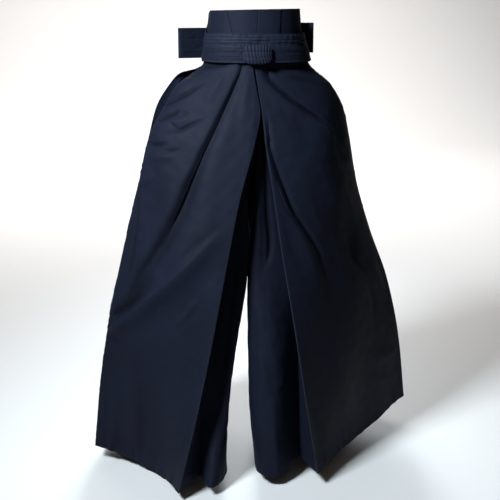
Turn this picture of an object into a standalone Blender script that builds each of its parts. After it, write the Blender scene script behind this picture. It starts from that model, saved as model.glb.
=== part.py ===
"""Hakama trousers as worn: pleated fronts and backs, a crotch gusset and tied waist ties.

Metres, +Z up, the front faces -Y and the wearer's right is at -X. The origin is the middle of
the waist at the height of the ties, where the wearer's waist carries the garment.
"""
import bmesh
import bpy
import numpy as np


def metres(rows):
    """Rows of a panel table, written in millimetres, with every length in metres."""
    return tuple(tuple(cell if name == "round" else cell / 1000 for name, cell in zip(COLUMNS, row))
                 for row in rows)


# Driving dimensions
CLOTH = 0.0011          # thickness of a panel's wall
TIE_CLOTH = 0.0014      # thickness of a tie's wall
LAYER = 0.0026          # from one layer of a pleat to the next, middle to middle
SEAM_GAP = 0.0004       # between two pieces at a seam
LONGEST_TRIM = 0.002    # the most that a wall stops short of its side seam
TOP_Z = 0.085           # top edge of the front
TOP_SLOPE = 0.02        # the top edge rises towards the wearer's left by this much for each metre
CROTCH_Z = -0.300
HEM_Z = -0.905          # nominal height of the hem
TIE_WIDTH = 0.060       # width of the front tie, and height of its turn round the waist
TIE_MID_Z = 0.006       # middle of the turn round the waist
KNOT_SIZE = (0.062, 0.015, 0.042)
BOW_KNOT_SIZE = (0.040, 0.018, 0.046)
LOOP_WIDTH = 0.066

# One row for each level, from the top edge to the hem, in millimetres. OUT is measured from the
# middle plane towards the panel's own side, and Y backwards. SIDE is the side edge, EDGE the
# foremost pleat edge of the leg, RECESS the bottom of the fold behind it, CREST the fold on the
# inner part, INNER the leg's innermost reach and SEAM the centre seam above the crotch and the
# inner leg seam below it, measured from the centre line below. ROUND is 1 where the outer part
# is a quarter of an ellipse, 0 where it is straight and negative where it is hollow.
COLUMNS = ("z", "side_out", "side_y", "round", "edge_out", "edge_y", "recess_out", "recess_y",
           "crest_out", "crest_y", "inner_out", "inner_y", "seam_gap", "seam_y")

# The centre seam leans towards the wearer's right lower down, and the legs' seams start from it
CENTRE_COLUMNS = ("z", "x")
CENTRE_LINE = ((0.085, 0.0), (-0.125, 0.0), (-0.185, -0.0043), (-0.300, -0.0180), (-0.905, -0.0180))

FRONT_RIGHT = metres((
    (  85, 96.5,   0,  1.00,  0.6,  -79.5,  36, -67.5,    24, -68.5,   12,   -69, 0.5, -68.5),
    (  36,  101,   0,  1.00,    4,  -83.5,  40, -71.5,    27, -72.5,   13,   -73, 0.5, -72.5),
    ( -26,  111,   0,  1.00,   12,  -88.5,  48, -76.5,    32, -77.5,   16,   -78, 0.5, -76.5),
    ( -75,  170,  -8,  0.95,  6.5,    -99,  45, -84.5,    31, -84.5,   15,   -84, 0.5,   -82),
    (-125,  203, -18,  0.90, -0.5,   -115,  44,   -94,    30, -92.5,   15, -91.5, 0.5, -89.5),
    (-185,  234, -28,  0.85,   12,   -131,  50,   -99,    34,   -97,   18,   -97, 0.8, -96.5),
    (-300,  262, -35,  0.70,   46,   -156,  66,   -96,    45, -95.5,   27,   -96, 1.3,   -80),
    (-420,  293, -45,  0.50,   73, -176.5,  84,  -103,    52,  -107, 22.5,  -106, 6.5,   -40),
    (-560,  325, -50,  0.20,  103,   -197, 106,  -121,    68,  -128,   40,  -125,  18,    -3),
    (-730,  355, -42, -0.30,  143, -222.5, 133,  -152,    88,  -155,   69,  -146,  37,     0),
    (-905,  375, -30, -0.80,  190,   -254, 140,  -192, 116.5,  -236,   80,  -165,  67,     0),
))
FRONT_LEFT = metres((
    (  85, 97.5,   0,  1.00,  3.4,    -78, 36, -64.5, 22, -65.5,    10,   -67, 0.5, -68.5),
    (  36,  102,   0,  1.00,    0,    -82, 36, -68.5, 22, -69.5,    10,   -71, 0.5, -72.5),
    ( -26,  117,   0,  1.00,   -8,  -86.5, 30, -73.5, 20, -74.5,    10,   -76, 0.5, -76.5),
    ( -75,  169,   4,  0.95, -2.5,  -96.5, 40, -81.5, 26, -81.5,    12,   -82, 0.5,   -82),
    (-125,  199,  10,  0.90,  4.5,   -112, 44,   -91, 28, -89.5,    12, -89.5, 0.5, -89.5),
    (-185,  216,  22,  0.85,  9.5,   -130, 47, -98.5, 24, -98.5,     9, -98.5, 0.8, -96.5),
    (-300,  241,  40,  0.70, 25.5,   -147, 60,   -98, 16,  -104,    -7,  -100, 1.3,   -80),
    (-420,  278,  52,  0.50,   43, -164.5, 75,  -103, 10,  -115, -18.7,  -104,   6,   -40),
    (-560,  328,  70,  0.25, 65.5,   -182, 84,  -110, 18,  -150,   -26,  -124,   7,    -3),
    (-730,  366,  87,  0.00,   91, -201.5, 88,  -118, 26,  -178, -23.5,  -144,  11,     0),
    (-905,  389, 100, -0.30,  119,   -215, 90,  -136, 34,  -205,   -11,  -168,  18,     0),
))
BACK_RIGHT = metres((
    (  85,  90,  22,  1.00,   4,  78,  36, 66.5,   24,   68,   12,  70, 0.5, 71.5),
    (  36,  94,  28,  1.00,   4,  82,  36, 70.5,   24,   72,   12,  74, 0.5, 75.5),
    ( -26, 104,  36,  0.95,   4,  88,  38,   76,   26, 77.5,   13,  79, 0.5, 80.5),
    ( -42, 124,  46,  0.90, 4.8,  96,  41,   84,   28, 85.5, 13.6,  87, 0.5, 88.5),
    ( -52, 160,  56,  0.85, 5.2, 102,  42,   90, 28.5, 91.5,   14,  93, 0.5,   94),
    ( -75, 184,  50,  0.80,   6, 118,  45,  104,   30,  105,   15, 107, 0.5,  108),
    (-125, 216,  28,  0.85,  10, 138,  50,  118,   34,  119,   17, 121, 0.5,  122),
    (-185, 234, -24,  1.00,  15, 150,  55,  124,   38,  124,   20, 126, 0.8,  126),
    (-300, 262, -35,  1.10,  35, 170,  70,  120,   50,  115,   34, 108, 1.3,   85),
    (-420, 293, -45,  1.10,  55, 184,  82,  122,   62,  117,   44, 105, 6.5,   45),
    (-560, 325, -50,  1.10,  80, 200,  98,  132,   78,  128,   56, 115,  18,    3),
    (-730, 355, -42,  1.05, 108, 218, 118,  146,   96,  146,   70, 130,  37,    0),
    (-905, 375, -30,  1.00, 135, 235, 136,  160,  114,  162,   84, 145,  67,    0),
))
BACK_LEFT = metres((
    (  85,  90,  22,  1.00,   4,  78,  36, 66.5, 24,   68, 12,  70, 0.5, 71.5),
    (  36,  94,  28,  1.00,   4,  82,  36, 70.5, 24,   72, 12,  74, 0.5, 75.5),
    ( -26, 104,  36,  0.95,   4,  88,  38,   76, 26, 77.5, 13,  79, 0.5, 80.5),
    ( -75, 154,  36,  0.85,   6, 118,  45,  104, 30,  105, 15, 107, 0.5,  108),
    (-125, 186,  40,  0.85,  10, 139,  50,  119, 34,  120, 17, 122, 0.5,  122),
    (-185, 214,  28,  0.95,  14, 154,  55,  128, 36,  128, 16, 128, 0.8,  126),
    (-300, 241,  40,  1.00,  30, 178,  64,  128, 40,  124, 12, 112, 1.3,   85),
    (-420, 278,  52,  1.00,  48, 197,  76,  138, 48,  134, 18, 112,   6,   45),
    (-560, 328,  70,  0.95,  68, 218,  88,  152, 56,  148, 22, 120,   7,    3),
    (-730, 366,  87,  0.90,  94, 241, 100,  170, 66,  166, 26, 135,  11,    0),
    (-905, 389, 100,  0.85, 118, 260, 108,  188, 74,  185, 30, 150,  18,    0),
))

# How far the hem lies above its nominal height at the side, halfway to the pleat edge, at the
# edge, the recess, the crest, the inner fold and the seam
FRONT_RIGHT_HEM = (0.004, -0.022, -0.012, -0.003, -0.012, -0.010, 0.004)
FRONT_LEFT_HEM = (0.050, -0.002, -0.001, 0.006, -0.010, -0.010, 0.004)
BACK_RIGHT_HEM = (0.004, 0.000, -0.004, 0.002, 0.002, 0.002, 0.004)
BACK_LEFT_HEM = (0.050, 0.024, 0.000, 0.004, 0.004, 0.004, 0.004)

# Pleats that lie flat near the waist and open out lower down. LAP is how far the upper layer
# lies over the lower one. A row gives the height, how far out the pleat's edge lies and how
# much of the lap is still closed.
LAP = 0.018
LAP_COLUMNS = ("z", "out", "closed")
RIGHT_OUTER_PLEAT = (
    (0.085, 0.0660, 1.0), (0.036, 0.0545, 1.0), (-0.030, 0.0400, 1.0), (-0.061, 0.0490, 1.0),
    (-0.117, 0.0760, 1.0), (-0.201, 0.1010, 1.0), (-0.262, 0.1290, 1.0), (-0.325, 0.1550, 0.9),
    (-0.378, 0.1820, 0.75), (-0.437, 0.2160, 0.55), (-0.489, 0.2400, 0.40), (-0.560, 0.2550, 0.2),
    (-0.660, 0.2600, 0.0),
)
LEFT_OUTER_PLEAT = (
    (0.085, 0.0480, 1.0), (0.036, 0.0450, 1.0), (-0.026, 0.0180, 1.0), (-0.051, 0.0240, 1.0),
    (-0.080, 0.0390, 1.0), (-0.110, 0.0780, 0.9), (-0.130, 0.1080, 0.7), (-0.160, 0.1420, 0.4),
    (-0.200, 0.1600, 0.1), (-0.260, 0.1700, 0.0),
)
LEFT_INNER_PLEAT = (
    (-0.110, 0.0150, 0.0), (-0.150, 0.0175, 0.35), (-0.178, 0.0205, 0.62), (-0.215, 0.0260, 1.0),
    (-0.267, 0.0400, 1.0),
    (-0.325, 0.0660, 1.0), (-0.377, 0.0990, 0.6), (-0.412, 0.1220, 0.4), (-0.480, 0.1450, 0.1),
    (-0.560, 0.1600, 0.0),
)

# Cloth colours, the same dark navy on every piece
NAVY = (0.022, 0.032, 0.058, 1.0)
TIE_NAVY = (0.024, 0.034, 0.060, 1.0)


def column(table, names, name):
    """One named column of a table as an array."""
    return np.array([row[names.index(name)] for row in table])


def smooth_through(table, names, name, z):
    """A column at heights z: a cubic between rows whose slopes never overshoot the rows."""
    heights = -column(table, names, "z")
    values = column(table, names, name)
    steps = np.diff(heights)
    rises = np.diff(values) / steps
    slopes = np.zeros_like(values)
    slopes[0], slopes[-1] = rises[0], rises[-1]
    before, after = rises[:-1], rises[1:]
    same_way = np.flatnonzero(before * after > 0)
    slopes[1 + same_way] = (2 * before * after)[same_way] / (before + after)[same_way]
    at = np.clip(-np.asarray(z, float), heights[0], heights[-1])
    i = np.clip(np.searchsorted(heights, at, side="right") - 1, 0, len(steps) - 1)
    t = (at - heights[i]) / steps[i]
    return ((1 + 2 * t) * (1 - t) ** 2 * values[i] + t * (1 - t) ** 2 * steps[i] * slopes[i]
            + t * t * (3 - 2 * t) * values[i + 1] + t * t * (t - 1) * steps[i] * slopes[i + 1])


def smoothstep(low, high, x):
    """0 below low, 1 above high and smooth between them."""
    t = np.clip((x - low) / (high - low), 0, 1)
    return t * t * (3 - 2 * t)


def bezier(start, handle_a, handle_b, end, t):
    """Points of one cubic Bezier curve at t."""
    t = t[:, None]
    return ((1 - t) ** 3 * start + 3 * t * (1 - t) ** 2 * handle_a
            + 3 * t * t * (1 - t) * handle_b + t ** 3 * end)


def catmull_rom(points, count):
    """A smooth curve through points, with count steps for each span."""
    padded = np.vstack([2 * points[0] - points[1], points, 2 * points[-1] - points[-2]])
    t = (np.arange(count) / count)[:, None]
    spans = []
    for a, b, c, d in zip(padded[:-3], padded[1:-2], padded[2:-1], padded[3:]):
        spans.append(0.5 * (2 * b + (c - a) * t + (2 * a - 5 * b + 4 * c - d) * t ** 2
                            + (3 * b - a - 3 * c + d) * t ** 3))
    return np.vstack(spans + [points[-1:]])


class Front:
    """The outer part of one section: the curve from the side edge to the pleat edge."""

    def __init__(self, side, edge, roundness):
        """Sample the curve finely and measure along it."""
        chord = (edge - side) / 3
        reach = 0.55
        ahead = np.array([0.0, (edge - side)[1]]) * reach
        beside = np.array([(edge - side)[0], 0.0]) * reach
        handle_a = side + roundness * ahead + (1 - roundness) * chord
        handle_b = edge - roundness * beside - (1 - roundness) * chord
        self.points = bezier(side, handle_a, handle_b, edge, np.linspace(0, 1, 81))
        steps = np.linalg.norm(np.diff(self.points, axis=0), axis=1)
        self.along = np.concatenate([[0], np.cumsum(steps)])
        self.length = self.along[-1]
        tangent = np.gradient(self.points, axis=0)
        self.tangent = tangent / np.linalg.norm(tangent, axis=1)[:, None]

    def at(self, s):
        """Points at distances s from the side edge."""
        return np.stack([np.interp(s, self.along, self.points[:, k]) for k in (0, 1)], axis=1)

    def outward(self, s, facing):
        """Unit vectors at s that point out of the garment; facing is -1 in front, 1 behind."""
        t = np.stack([np.interp(s, self.along, self.tangent[:, k]) for k in (0, 1)], axis=1)
        t /= np.linalg.norm(t, axis=1)[:, None]
        return np.stack([-t[:, 1] * facing, t[:, 0] * facing], axis=1) * -1

    def place_of(self, out):
        """Distance along the curve at which it lies this far out."""
        return np.interp(-out, -self.points[:, 0], self.along)


# A pleat has eight columns. Shut, it is three layers, from 1 on top to -1 beneath; upright and
# open, its columns lie at these distances from its edge
SHUT_ABOVE = 0.66
UPRIGHT_ABOVE = 0.33
LEAST_LAP = 0.0036
PLEAT_ROUNDING = 0.0015
PLEAT_APPROACH = 0.010
PLEAT_OPEN = np.array([-0.016, -0.0115, -0.007, -0.0023, 0.0023, 0.007, 0.0115, 0.016])
PLEAT_UPRIGHT = np.array([-0.010, -0.004, -0.0008, 0.0, 0.0, 0.0008, 0.004, 0.010])
PLEAT_UPRIGHT_LAYERS = np.array([1.0, 1.0, 0.78, 0.33, -0.33, -0.78, -1.0, -1.0])
PLEAT_LAYERS = np.array([1.0, 1.0, 0.5, 0.0, 0.0, -0.5, -1.0, -1.0])
PLEAT_STEP = np.array([1.0, 0.9, 0.6, 0.2, -0.2, -0.6, -0.9, -1.0])


def pleat_columns(front, rows, z, start):
    """A pleat's columns at height z: distances along the curve, layers and how high it rises.

    The pleat is shut where most of its lap is closed, then an upright step, and further on a
    soft step or flat cloth. It keeps clear of start, where the last pleat ends, and of the
    foremost edge.
    """
    closed = float(smooth_through(rows, LAP_COLUMNS, "closed", z))
    place = front.place_of(float(smooth_through(rows, LAP_COLUMNS, "out", z)))
    rising = float(smoothstep(0.0, 0.35, closed))
    room = front.length - start
    if closed > SHUT_ABOVE:
        fold = PLEAT_ROUNDING
        lap = LEAST_LAP + (LAP - LEAST_LAP) * (closed - SHUT_ABOVE) / (1 - SHUT_ABOVE)
        along = np.array([-PLEAT_APPROACH, -fold, 0, -fold, fold - lap, -lap, fold - lap,
                          PLEAT_APPROACH - lap])
        place = min(max(place, start + 0.014), front.length - 0.006)
        return place + along, PLEAT_LAYERS * rising, rising
    if closed > UPRIGHT_ABOVE:
        place = min(max(place, start + 0.014), front.length - 0.014)
        return place + PLEAT_UPRIGHT, PLEAT_UPRIGHT_LAYERS * rising, rising
    spread = min(1.0, room / 0.056)
    place = min(max(place, start + 0.020 * spread), front.length - 0.024 * spread)
    return place + PLEAT_OPEN * spread, PLEAT_STEP * rising, rising


def outer_curve(table, z):
    """The outer part of a panel's section at height z."""
    names = ("side_out", "side_y", "edge_out", "edge_y", "round")
    value = [float(smooth_through(table, COLUMNS, name, z)) for name in names]
    return Front(np.array(value[:2]), np.array(value[2:4]), value[4])


def side_trims(front_table, back_table):
    """How far front and back stop short of their side seam in each row, so that the ends clear."""
    trims = []
    for z in ROWS_Z:
        toward = outer_curve(front_table, z).tangent[0] @ outer_curve(back_table, z).tangent[0]
        trims.append(SEAM_GAP * 0.75 + CLOTH / 2 * np.sqrt((1 + toward) / (1 - toward)))
    return np.minimum(trims, LONGEST_TRIM)


def section(table, z, facing, mirror, pleats, counts, trim):
    """One section of a panel at height z, as (out, y) points from side edge to seam.

    The curve runs from the side edge over each flat pleat to the foremost pleat edge, turns
    under it to the recess and comes forward again over the inner part to the seam.
    """
    value = {name: float(smooth_through(table, COLUMNS, name, z)) for name in COLUMNS[1:]}
    edge = np.array([value["edge_out"], value["edge_y"]])
    front = outer_curve(table, z)
    parts, layers = [], []
    start = trim
    for rows, count in zip(pleats, counts[1:]):
        along, layer, rising = pleat_columns(front, rows, z, start)
        parts.append(np.linspace(start, along[0], count + 1)[1 if layers else 0:-1])
        parts.append(along)
        layers.append((rising, along, layer))
        start = along[-1]
    turn = 0.0016
    parts.append(np.linspace(start, front.length - turn, counts[0] + 1)[1 if pleats else 0:])
    s = np.concatenate(parts)
    lift = np.zeros_like(s)
    index = 0
    for rising, along, layer in layers:
        index = int(np.argmin(np.abs(s - along[0]) + 1e3 * (np.arange(len(s)) < index)))
        before, after = np.arange(len(s)) < index, np.arange(len(s)) >= index + len(along)
        lift[before] += rising * smoothstep(along[0] - 0.045, along[0], s[before])
        lift[index:index + len(along)] += layer
        lift[after] -= rising * (1 - smoothstep(along[-1], along[-1] + 0.040, s[after]))
        index += len(along)
    normals = front.outward(s, facing)
    outer = front.at(s) + normals * (lift * LAYER)[:, None]
    last_normal = front.outward(np.array([front.length]), facing)[0]
    nose = edge + last_normal * (lift[-1] - 0.5) * LAYER
    under = outer[-1] - last_normal * LAYER
    recess = np.array([value["recess_out"], value["recess_y"]])
    lean = mirror * float(smooth_through(CENTRE_LINE, CENTRE_COLUMNS, "x", z))
    value["seam_out"] = lean + value["seam_gap"]
    inner = np.array([[value[f"{name}_out"], value[f"{name}_y"]] for name in ("crest", "inner", "seam")])
    if z < CROTCH_Z:
        inner[2, 1] += SEAM_GAP * facing
    # The recess turns in three points, a layer apart where the fold is shut
    back_way = unit(under - recess)
    on_way = unit(inner[0] - recess)
    shut = (1 + back_way @ on_way) / 2
    inward = np.array([0.0, -facing * LAYER]) * shut
    turn = PLEAT_ROUNDING + 0.004 * (1 - shut)
    arrive = recess + back_way * turn
    bottom = recess + inward * 0.5
    leave = recess + on_way * turn + inward
    tail = catmull_rom(np.vstack([leave, inner]), counts[-1])[1:]
    return np.vstack([outer, nose, under, (under + arrive) / 2, arrive, bottom, leave, tail])


def unit(vector):
    """The vector with length 1."""
    return vector / np.linalg.norm(vector)


def hem_shift(hem, points, counts_outer):
    """How far each column's hem lies from the nominal height, as one array for a section."""
    side, middle, edge, recess, crest, inner, seam = hem
    steps = np.concatenate([[0], np.cumsum(np.linalg.norm(np.diff(points, axis=0), axis=1))])
    keys = [0.0, 0.5 * steps[counts_outer - 1], steps[counts_outer - 1], steps[counts_outer + 4]]
    tail = len(points) - (counts_outer + 5)
    keys += [steps[counts_outer + 4 + tail * k // 3] for k in (1, 2, 3)]
    return np.interp(steps, keys, [side, middle, edge, recess, crest, inner, seam])


ROWS_Z = np.array([0.085, 0.060, 0.036, 0.008, -0.026, -0.042, -0.052, -0.075, -0.100, -0.125,
                   -0.140, -0.155, -0.170, -0.185, -0.220, -0.260, -0.300, -0.330, -0.360,
                   -0.390, -0.420, -0.490, -0.560, -0.645, -0.730, -0.820, -0.905])


def panel_surface(table, facing, mirror, pleats, hem, counts, trims):
    """Middle surface of a panel: rows down the garment, columns from side edge to seam."""
    plan = np.stack([section(table, z, facing, mirror, pleats, counts, trim)
                     for z, trim in zip(ROWS_Z, trims)])
    outer_count = plan.shape[1] - 6 - 3 * counts[-1]
    shift = hem_shift(hem, plan[-1], outer_count)
    fall = smoothstep(-CROTCH_Z, -HEM_Z, -ROWS_Z)[:, None]
    height = ROWS_Z[:, None] + shift[None, :] * fall
    x = plan[:, :, 0] * mirror
    height = height + TOP_SLOPE * x * smoothstep(0.036, TOP_Z, height)
    return np.stack([x, plan[:, :, 1], height], axis=2)


def normals_of(grid):
    """Unit normals of a grid of points, from the differences across each point."""
    down = np.gradient(grid, axis=0)
    over = np.gradient(grid, axis=1)
    n = np.cross(over, down)
    return n / np.linalg.norm(n, axis=2)[:, :, None]


def walled(name, grid, thickness, material, flip=False):
    """A closed wall of even thickness about a grid of points, as one object."""
    n = normals_of(grid) * (-1 if flip else 1)
    rows, columns = grid.shape[:2]
    outer = (grid + n * thickness / 2).reshape(-1, 3)
    inner = (grid - n * thickness / 2).reshape(-1, 3)
    r, c = np.meshgrid(np.arange(rows - 1), np.arange(columns - 1), indexing="ij")
    a = (r * columns + c).ravel()
    halves = np.concatenate([np.stack([a, a + 1, a + columns], axis=1),
                             np.stack([a + 1, a + 1 + columns, a + columns], axis=1)])
    if flip:
        halves = halves[:, ::-1]
    far = rows * columns
    rim = np.concatenate([
        np.arange(columns), np.arange(1, rows) * columns + columns - 1,
        (rows - 1) * columns + np.arange(columns - 2, -1, -1), np.arange(rows - 2, 0, -1) * columns])
    following = np.roll(rim, -1)
    sides = np.stack([rim, rim + far, following + far, following], axis=1)
    if flip:
        sides = sides[:, ::-1]
    faces = halves.tolist() + (halves[:, ::-1] + far).tolist() + sides.tolist()
    mesh = bpy.data.meshes.new(name)
    mesh.from_pydata(np.vstack([outer, inner]).tolist(), [], faces)
    mesh.materials.append(material)
    mesh.validate()
    mesh.shade_smooth()
    thing = bpy.data.objects.new(name, mesh)
    bpy.context.scene.collection.objects.link(thing)
    return thing


def cloth_material(name, colour):
    """Plain woven cotton and polyester."""
    material = bpy.data.materials.new(name)
    material.use_nodes = True
    shader = material.node_tree.nodes["Principled BSDF"]
    shader.inputs["Base Color"].default_value = colour
    shader.inputs["Roughness"].default_value = 0.8
    shader.inputs["Metallic"].default_value = 0.0
    return material


# Columns of each panel: across its last flat stretch, across each stretch before a pleat, and
# for each span of the inner part
PANELS = (
    ("front_panel_right", FRONT_RIGHT, -1, -1, (RIGHT_OUTER_PLEAT,), FRONT_RIGHT_HEM, (5, 5, 2)),
    ("front_panel_left", FRONT_LEFT, -1, 1, (LEFT_OUTER_PLEAT, LEFT_INNER_PLEAT), FRONT_LEFT_HEM,
     (3, 5, 3, 2)),
    ("back_panel_right", BACK_RIGHT, 1, -1, (), BACK_RIGHT_HEM, (9, 2)),
    ("back_panel_left", BACK_LEFT, 1, 1, (), BACK_LEFT_HEM, (9, 2)),
)


# The waist, as the ties see it: half widths to the wearer's right and left and half depths at
# the front and the back, for each height. Both halves are squarer than an ellipse.
WAIST_COLUMNS = ("z", "right", "left", "front", "back")
WAIST = (
    (0.085, 0.0965, 0.0975, 0.0795, 0.0780),
    (0.036, 0.1010, 0.1020, 0.0835, 0.0820),
    (-0.026, 0.1110, 0.1170, 0.0885, 0.0880),
)
FRONT_SQUARENESS = 2.15
BACK_SQUARENESS = 2.7


def waist_point(angle, z, offset):
    """Points offset outward from the waist: angle is 0 at the left side, 90 at the back."""
    turn = np.radians(angle)
    c, s = np.cos(turn), np.sin(turn)
    wide = np.where(c > 0, smooth_through(WAIST, WAIST_COLUMNS, "left", z),
                    smooth_through(WAIST, WAIST_COLUMNS, "right", z)) + offset
    deep = np.where(s > 0, smooth_through(WAIST, WAIST_COLUMNS, "back", z),
                    smooth_through(WAIST, WAIST_COLUMNS, "front", z)) + offset
    power = 2 / np.where(s > 0, BACK_SQUARENESS, FRONT_SQUARENESS)
    x = wide * np.sign(c) * np.abs(c) ** power
    y = deep * np.sign(s) * np.abs(s) ** power
    return np.stack([x, y, z], axis=-1)


def waist_depth(x, z, offset, facing):
    """How far forward or back the waist line lies at x, offset outward."""
    name, squareness = ("front", FRONT_SQUARENESS) if facing < 0 else ("back", BACK_SQUARENESS)
    deep = smooth_through(WAIST, WAIST_COLUMNS, name, z) + offset
    wide = smooth_through(WAIST, WAIST_COLUMNS, "right", z) + offset
    return facing * deep * (1 - np.abs(x / wide) ** squareness) ** (1 / squareness)


# Ties, a row for each turning point of the path: angle round the waist, height of the middle,
# width and distance out from the waist line
TIE_COLUMNS = ("angle", "mid_z", "width", "offset")
START_PATH = ((2, 0.0525, 0.055, 0.0006), (12, 0.044, 0.055, 0.0017), (22, 0.034, 0.055, 0.0017),
              (45, 0.012, 0.055, 0.0017), (64, 0.006, 0.054, 0.0017))
BACK_TIE_PATH = ((60, 0.066, 0.034, 0.0018), (50, 0.062, 0.034, 0.0020),
                 (38, 0.052, 0.034, 0.0062), (22, 0.036, 0.034, 0.0062),
                 (8, 0.012, 0.034, 0.0064), (-8, -0.003, 0.034, 0.0070),
                 (-24, -0.0065, 0.033, 0.0074), (-60, -0.007, 0.033, 0.0074),
                 (-89.6, -0.007, 0.033, 0.0074))
BACK_BAND_PATH = ((60.4, 0.067, 0.034, 0.0018), (119.6, 0.067, 0.034, 0.0018))
WRAP_FRONT, WRAP_BACK = 0.0055, 0.0036


def tie_grid(angle, mid_z, width, offset, rows=4):
    """A flat tie's middle surface: rows across its width, columns along its path."""
    across = np.linspace(0.5, -0.5, rows)[:, None]
    z = mid_z[None, :] + across * width[None, :]
    return waist_point(np.broadcast_to(angle[None, :], z.shape), z, offset[None, :])


def tie_along(path, count, mirrored):
    """A tie along a path's rows, on the left side or mirrored to the right."""
    angles = column(path, TIE_COLUMNS, "angle")
    angle = np.linspace(angles[0], angles[-1], count)
    along = np.abs(angle - angles[0])
    keyed = [(-abs(row[0] - angles[0]),) + row for row in path]
    names = ("z",) + TIE_COLUMNS
    mid_z, width, offset = (smooth_through(keyed, names, name, -along) for name in TIE_COLUMNS[1:])
    return tie_grid(180 - angle if mirrored else angle, mid_z, width, offset)


def ring(name, material):
    """The front tie's turn round the waist, a closed band with no ends."""
    count = 56
    angle = np.arange(count) * 360 / count
    behind = smoothstep(-0.35, 0.25, np.sin(np.radians(angle)))
    offset = WRAP_FRONT + (WRAP_BACK - WRAP_FRONT) * behind
    grid = tie_grid(angle, np.full(count, TIE_MID_Z), np.full(count, TIE_WIDTH), offset)
    wide = np.concatenate([grid[:, -1:], grid, grid[:, :1]], axis=1)
    normal = normals_of(wide)[:, 1:-1]
    if (normal[0, 0] @ grid[0, 0]) < 0:
        normal = -normal
    loops = np.concatenate([grid + normal * TIE_CLOTH / 2, (grid - normal * TIE_CLOTH / 2)[::-1]])
    return solid_of_loops(name, loops, material, wrap_loops=True)


def solid_of_loops(name, loops, material, wrap_loops=False, caps=()):
    """A closed body from loops of points: each loop is joined to the next one.

    With wrap_loops the last loop joins the first. Otherwise caps gives the two end points.
    """
    rows, columns = loops.shape[:2]
    points = loops.reshape(-1, 3)
    last = rows if wrap_loops else rows - 1
    faces = []
    for r in range(last):
        for c in range(columns):
            a, b = r * columns + c, r * columns + (c + 1) % columns
            below = ((r + 1) % rows) * columns
            faces.append((a, below + c, below + (c + 1) % columns, b))
    if caps:
        top, bottom = len(points), len(points) + 1
        points = np.vstack([points, caps])
        for c in range(columns):
            faces.append((top, c, (c + 1) % columns))
            base = (rows - 1) * columns
            faces.append((bottom, base + (c + 1) % columns, base + c))
    mesh = bpy.data.meshes.new(name)
    mesh.from_pydata(points.tolist(), [], faces)
    mesh.materials.append(material)
    shape = bmesh.new()
    shape.from_mesh(mesh)
    bmesh.ops.recalc_face_normals(shape, faces=shape.faces)
    if shape.calc_volume(signed=True) < 0:
        bmesh.ops.reverse_faces(shape, faces=shape.faces)
    shape.to_mesh(mesh)
    shape.free()
    mesh.shade_smooth()
    thing = bpy.data.objects.new(name, mesh)
    bpy.context.scene.collection.objects.link(thing)
    return thing


def knot(name, size, middle, offset, facing, material):
    """A knot: a pillow with rounded corners that follows the curve of the waist behind it."""
    width, depth, height = size
    lats = np.radians(np.linspace(-90, 90, 11))[1:-1]
    lons = np.radians(np.arange(0, 360, 18))
    soft = 0.6
    lat, lon = np.meshgrid(lats, lons, indexing="ij")
    shape = np.abs(np.cos(lat)) ** soft
    x = middle[0] + width / 2 * shape * np.sign(np.cos(lon)) * np.abs(np.cos(lon)) ** soft
    out = depth / 2 * shape * np.sign(np.sin(lon)) * np.abs(np.sin(lon)) ** soft
    z = middle[1] + height / 2 * np.sign(np.sin(lat)) * np.abs(np.sin(lat)) ** soft
    loops = np.stack([x, waist_depth(x, z, offset + out, facing), z], axis=2)
    ends = [(middle[0], float(waist_depth(middle[0], end_z, offset, facing)), end_z)
            for end_z in (middle[1] - height / 2, middle[1] + height / 2)]
    return solid_of_loops(name, loops, material, caps=ends)


# The bow's loops behind, a row for each turning point: distance out from the middle and back
LOOP_START = ((0.0204, 0.101), (0.050, 0.098), (0.080, 0.089), (0.110, 0.0775))
LOOP_PLANS = {"bow_loop_right": (-1, 0.0125, LOOP_START + ((0.162, 0.059),)),
              "bow_loop_left": (1, 0.0235, LOOP_START + ((0.138, 0.067),))}
LOOP_GAP = 0.0034


def bow_loops(material):
    """Two flat loops, each a strip that goes out and folds back at a square end."""
    for name, (mirror, mid_z, plan) in LOOP_PLANS.items():
        line = catmull_rom(np.array(plan), 3)
        tangent = np.gradient(line, axis=0)
        tangent /= np.linalg.norm(tangent, axis=1)[:, None]
        normal = np.stack([-tangent[:, 1], tangent[:, 0]], axis=1)
        near, far = line - normal * LOOP_GAP / 2, line + normal * LOOP_GAP / 2
        end = line[-1:] + tangent[-1:] * 0.0016
        path = np.vstack([near, end, far[::-1]])
        z = mid_z + np.linspace(0.5, -0.5, 3) * LOOP_WIDTH
        grid = np.stack([np.broadcast_to(path[None, :, 0] * mirror, (3, len(path))),
                         np.broadcast_to(path[None, :, 1], (3, len(path))),
                         np.broadcast_to(z[:, None], (3, len(path)))], axis=2)
        walled(name, grid, TIE_CLOTH, material, flip=mirror < 0)


def build_ties(material):
    """The ties, the knot in front and the bow behind."""
    for side, mirrored in (("left", False), ("right", True)):
        start = tie_along(START_PATH, 9, mirrored)
        walled(f"front_tie_{side}_start", start, TIE_CLOTH, material, flip=mirrored)
        back = tie_along(BACK_TIE_PATH, 31, mirrored)
        walled(f"back_tie_{side}", back, TIE_CLOTH, material, flip=not mirrored)
    walled("back_tie_band", tie_along(BACK_BAND_PATH, 11, False), TIE_CLOTH, material)
    ring("front_tie_wrap", material)
    knot("front_knot", KNOT_SIZE, (-0.004, -0.006), 0.0086 + KNOT_SIZE[1] / 2, -1, material)
    knot("bow_knot", BOW_KNOT_SIZE, (0.0, 0.012), 0.0048 + BOW_KNOT_SIZE[1] / 2, 1, material)
    bow_loops(material)


# The gusset runs down the inside of each leg from just below the crotch to this row's height
GUSSET_END_Z = -0.490
GUSSET_TOP_Z = CROTCH_Z - 0.004


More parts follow.
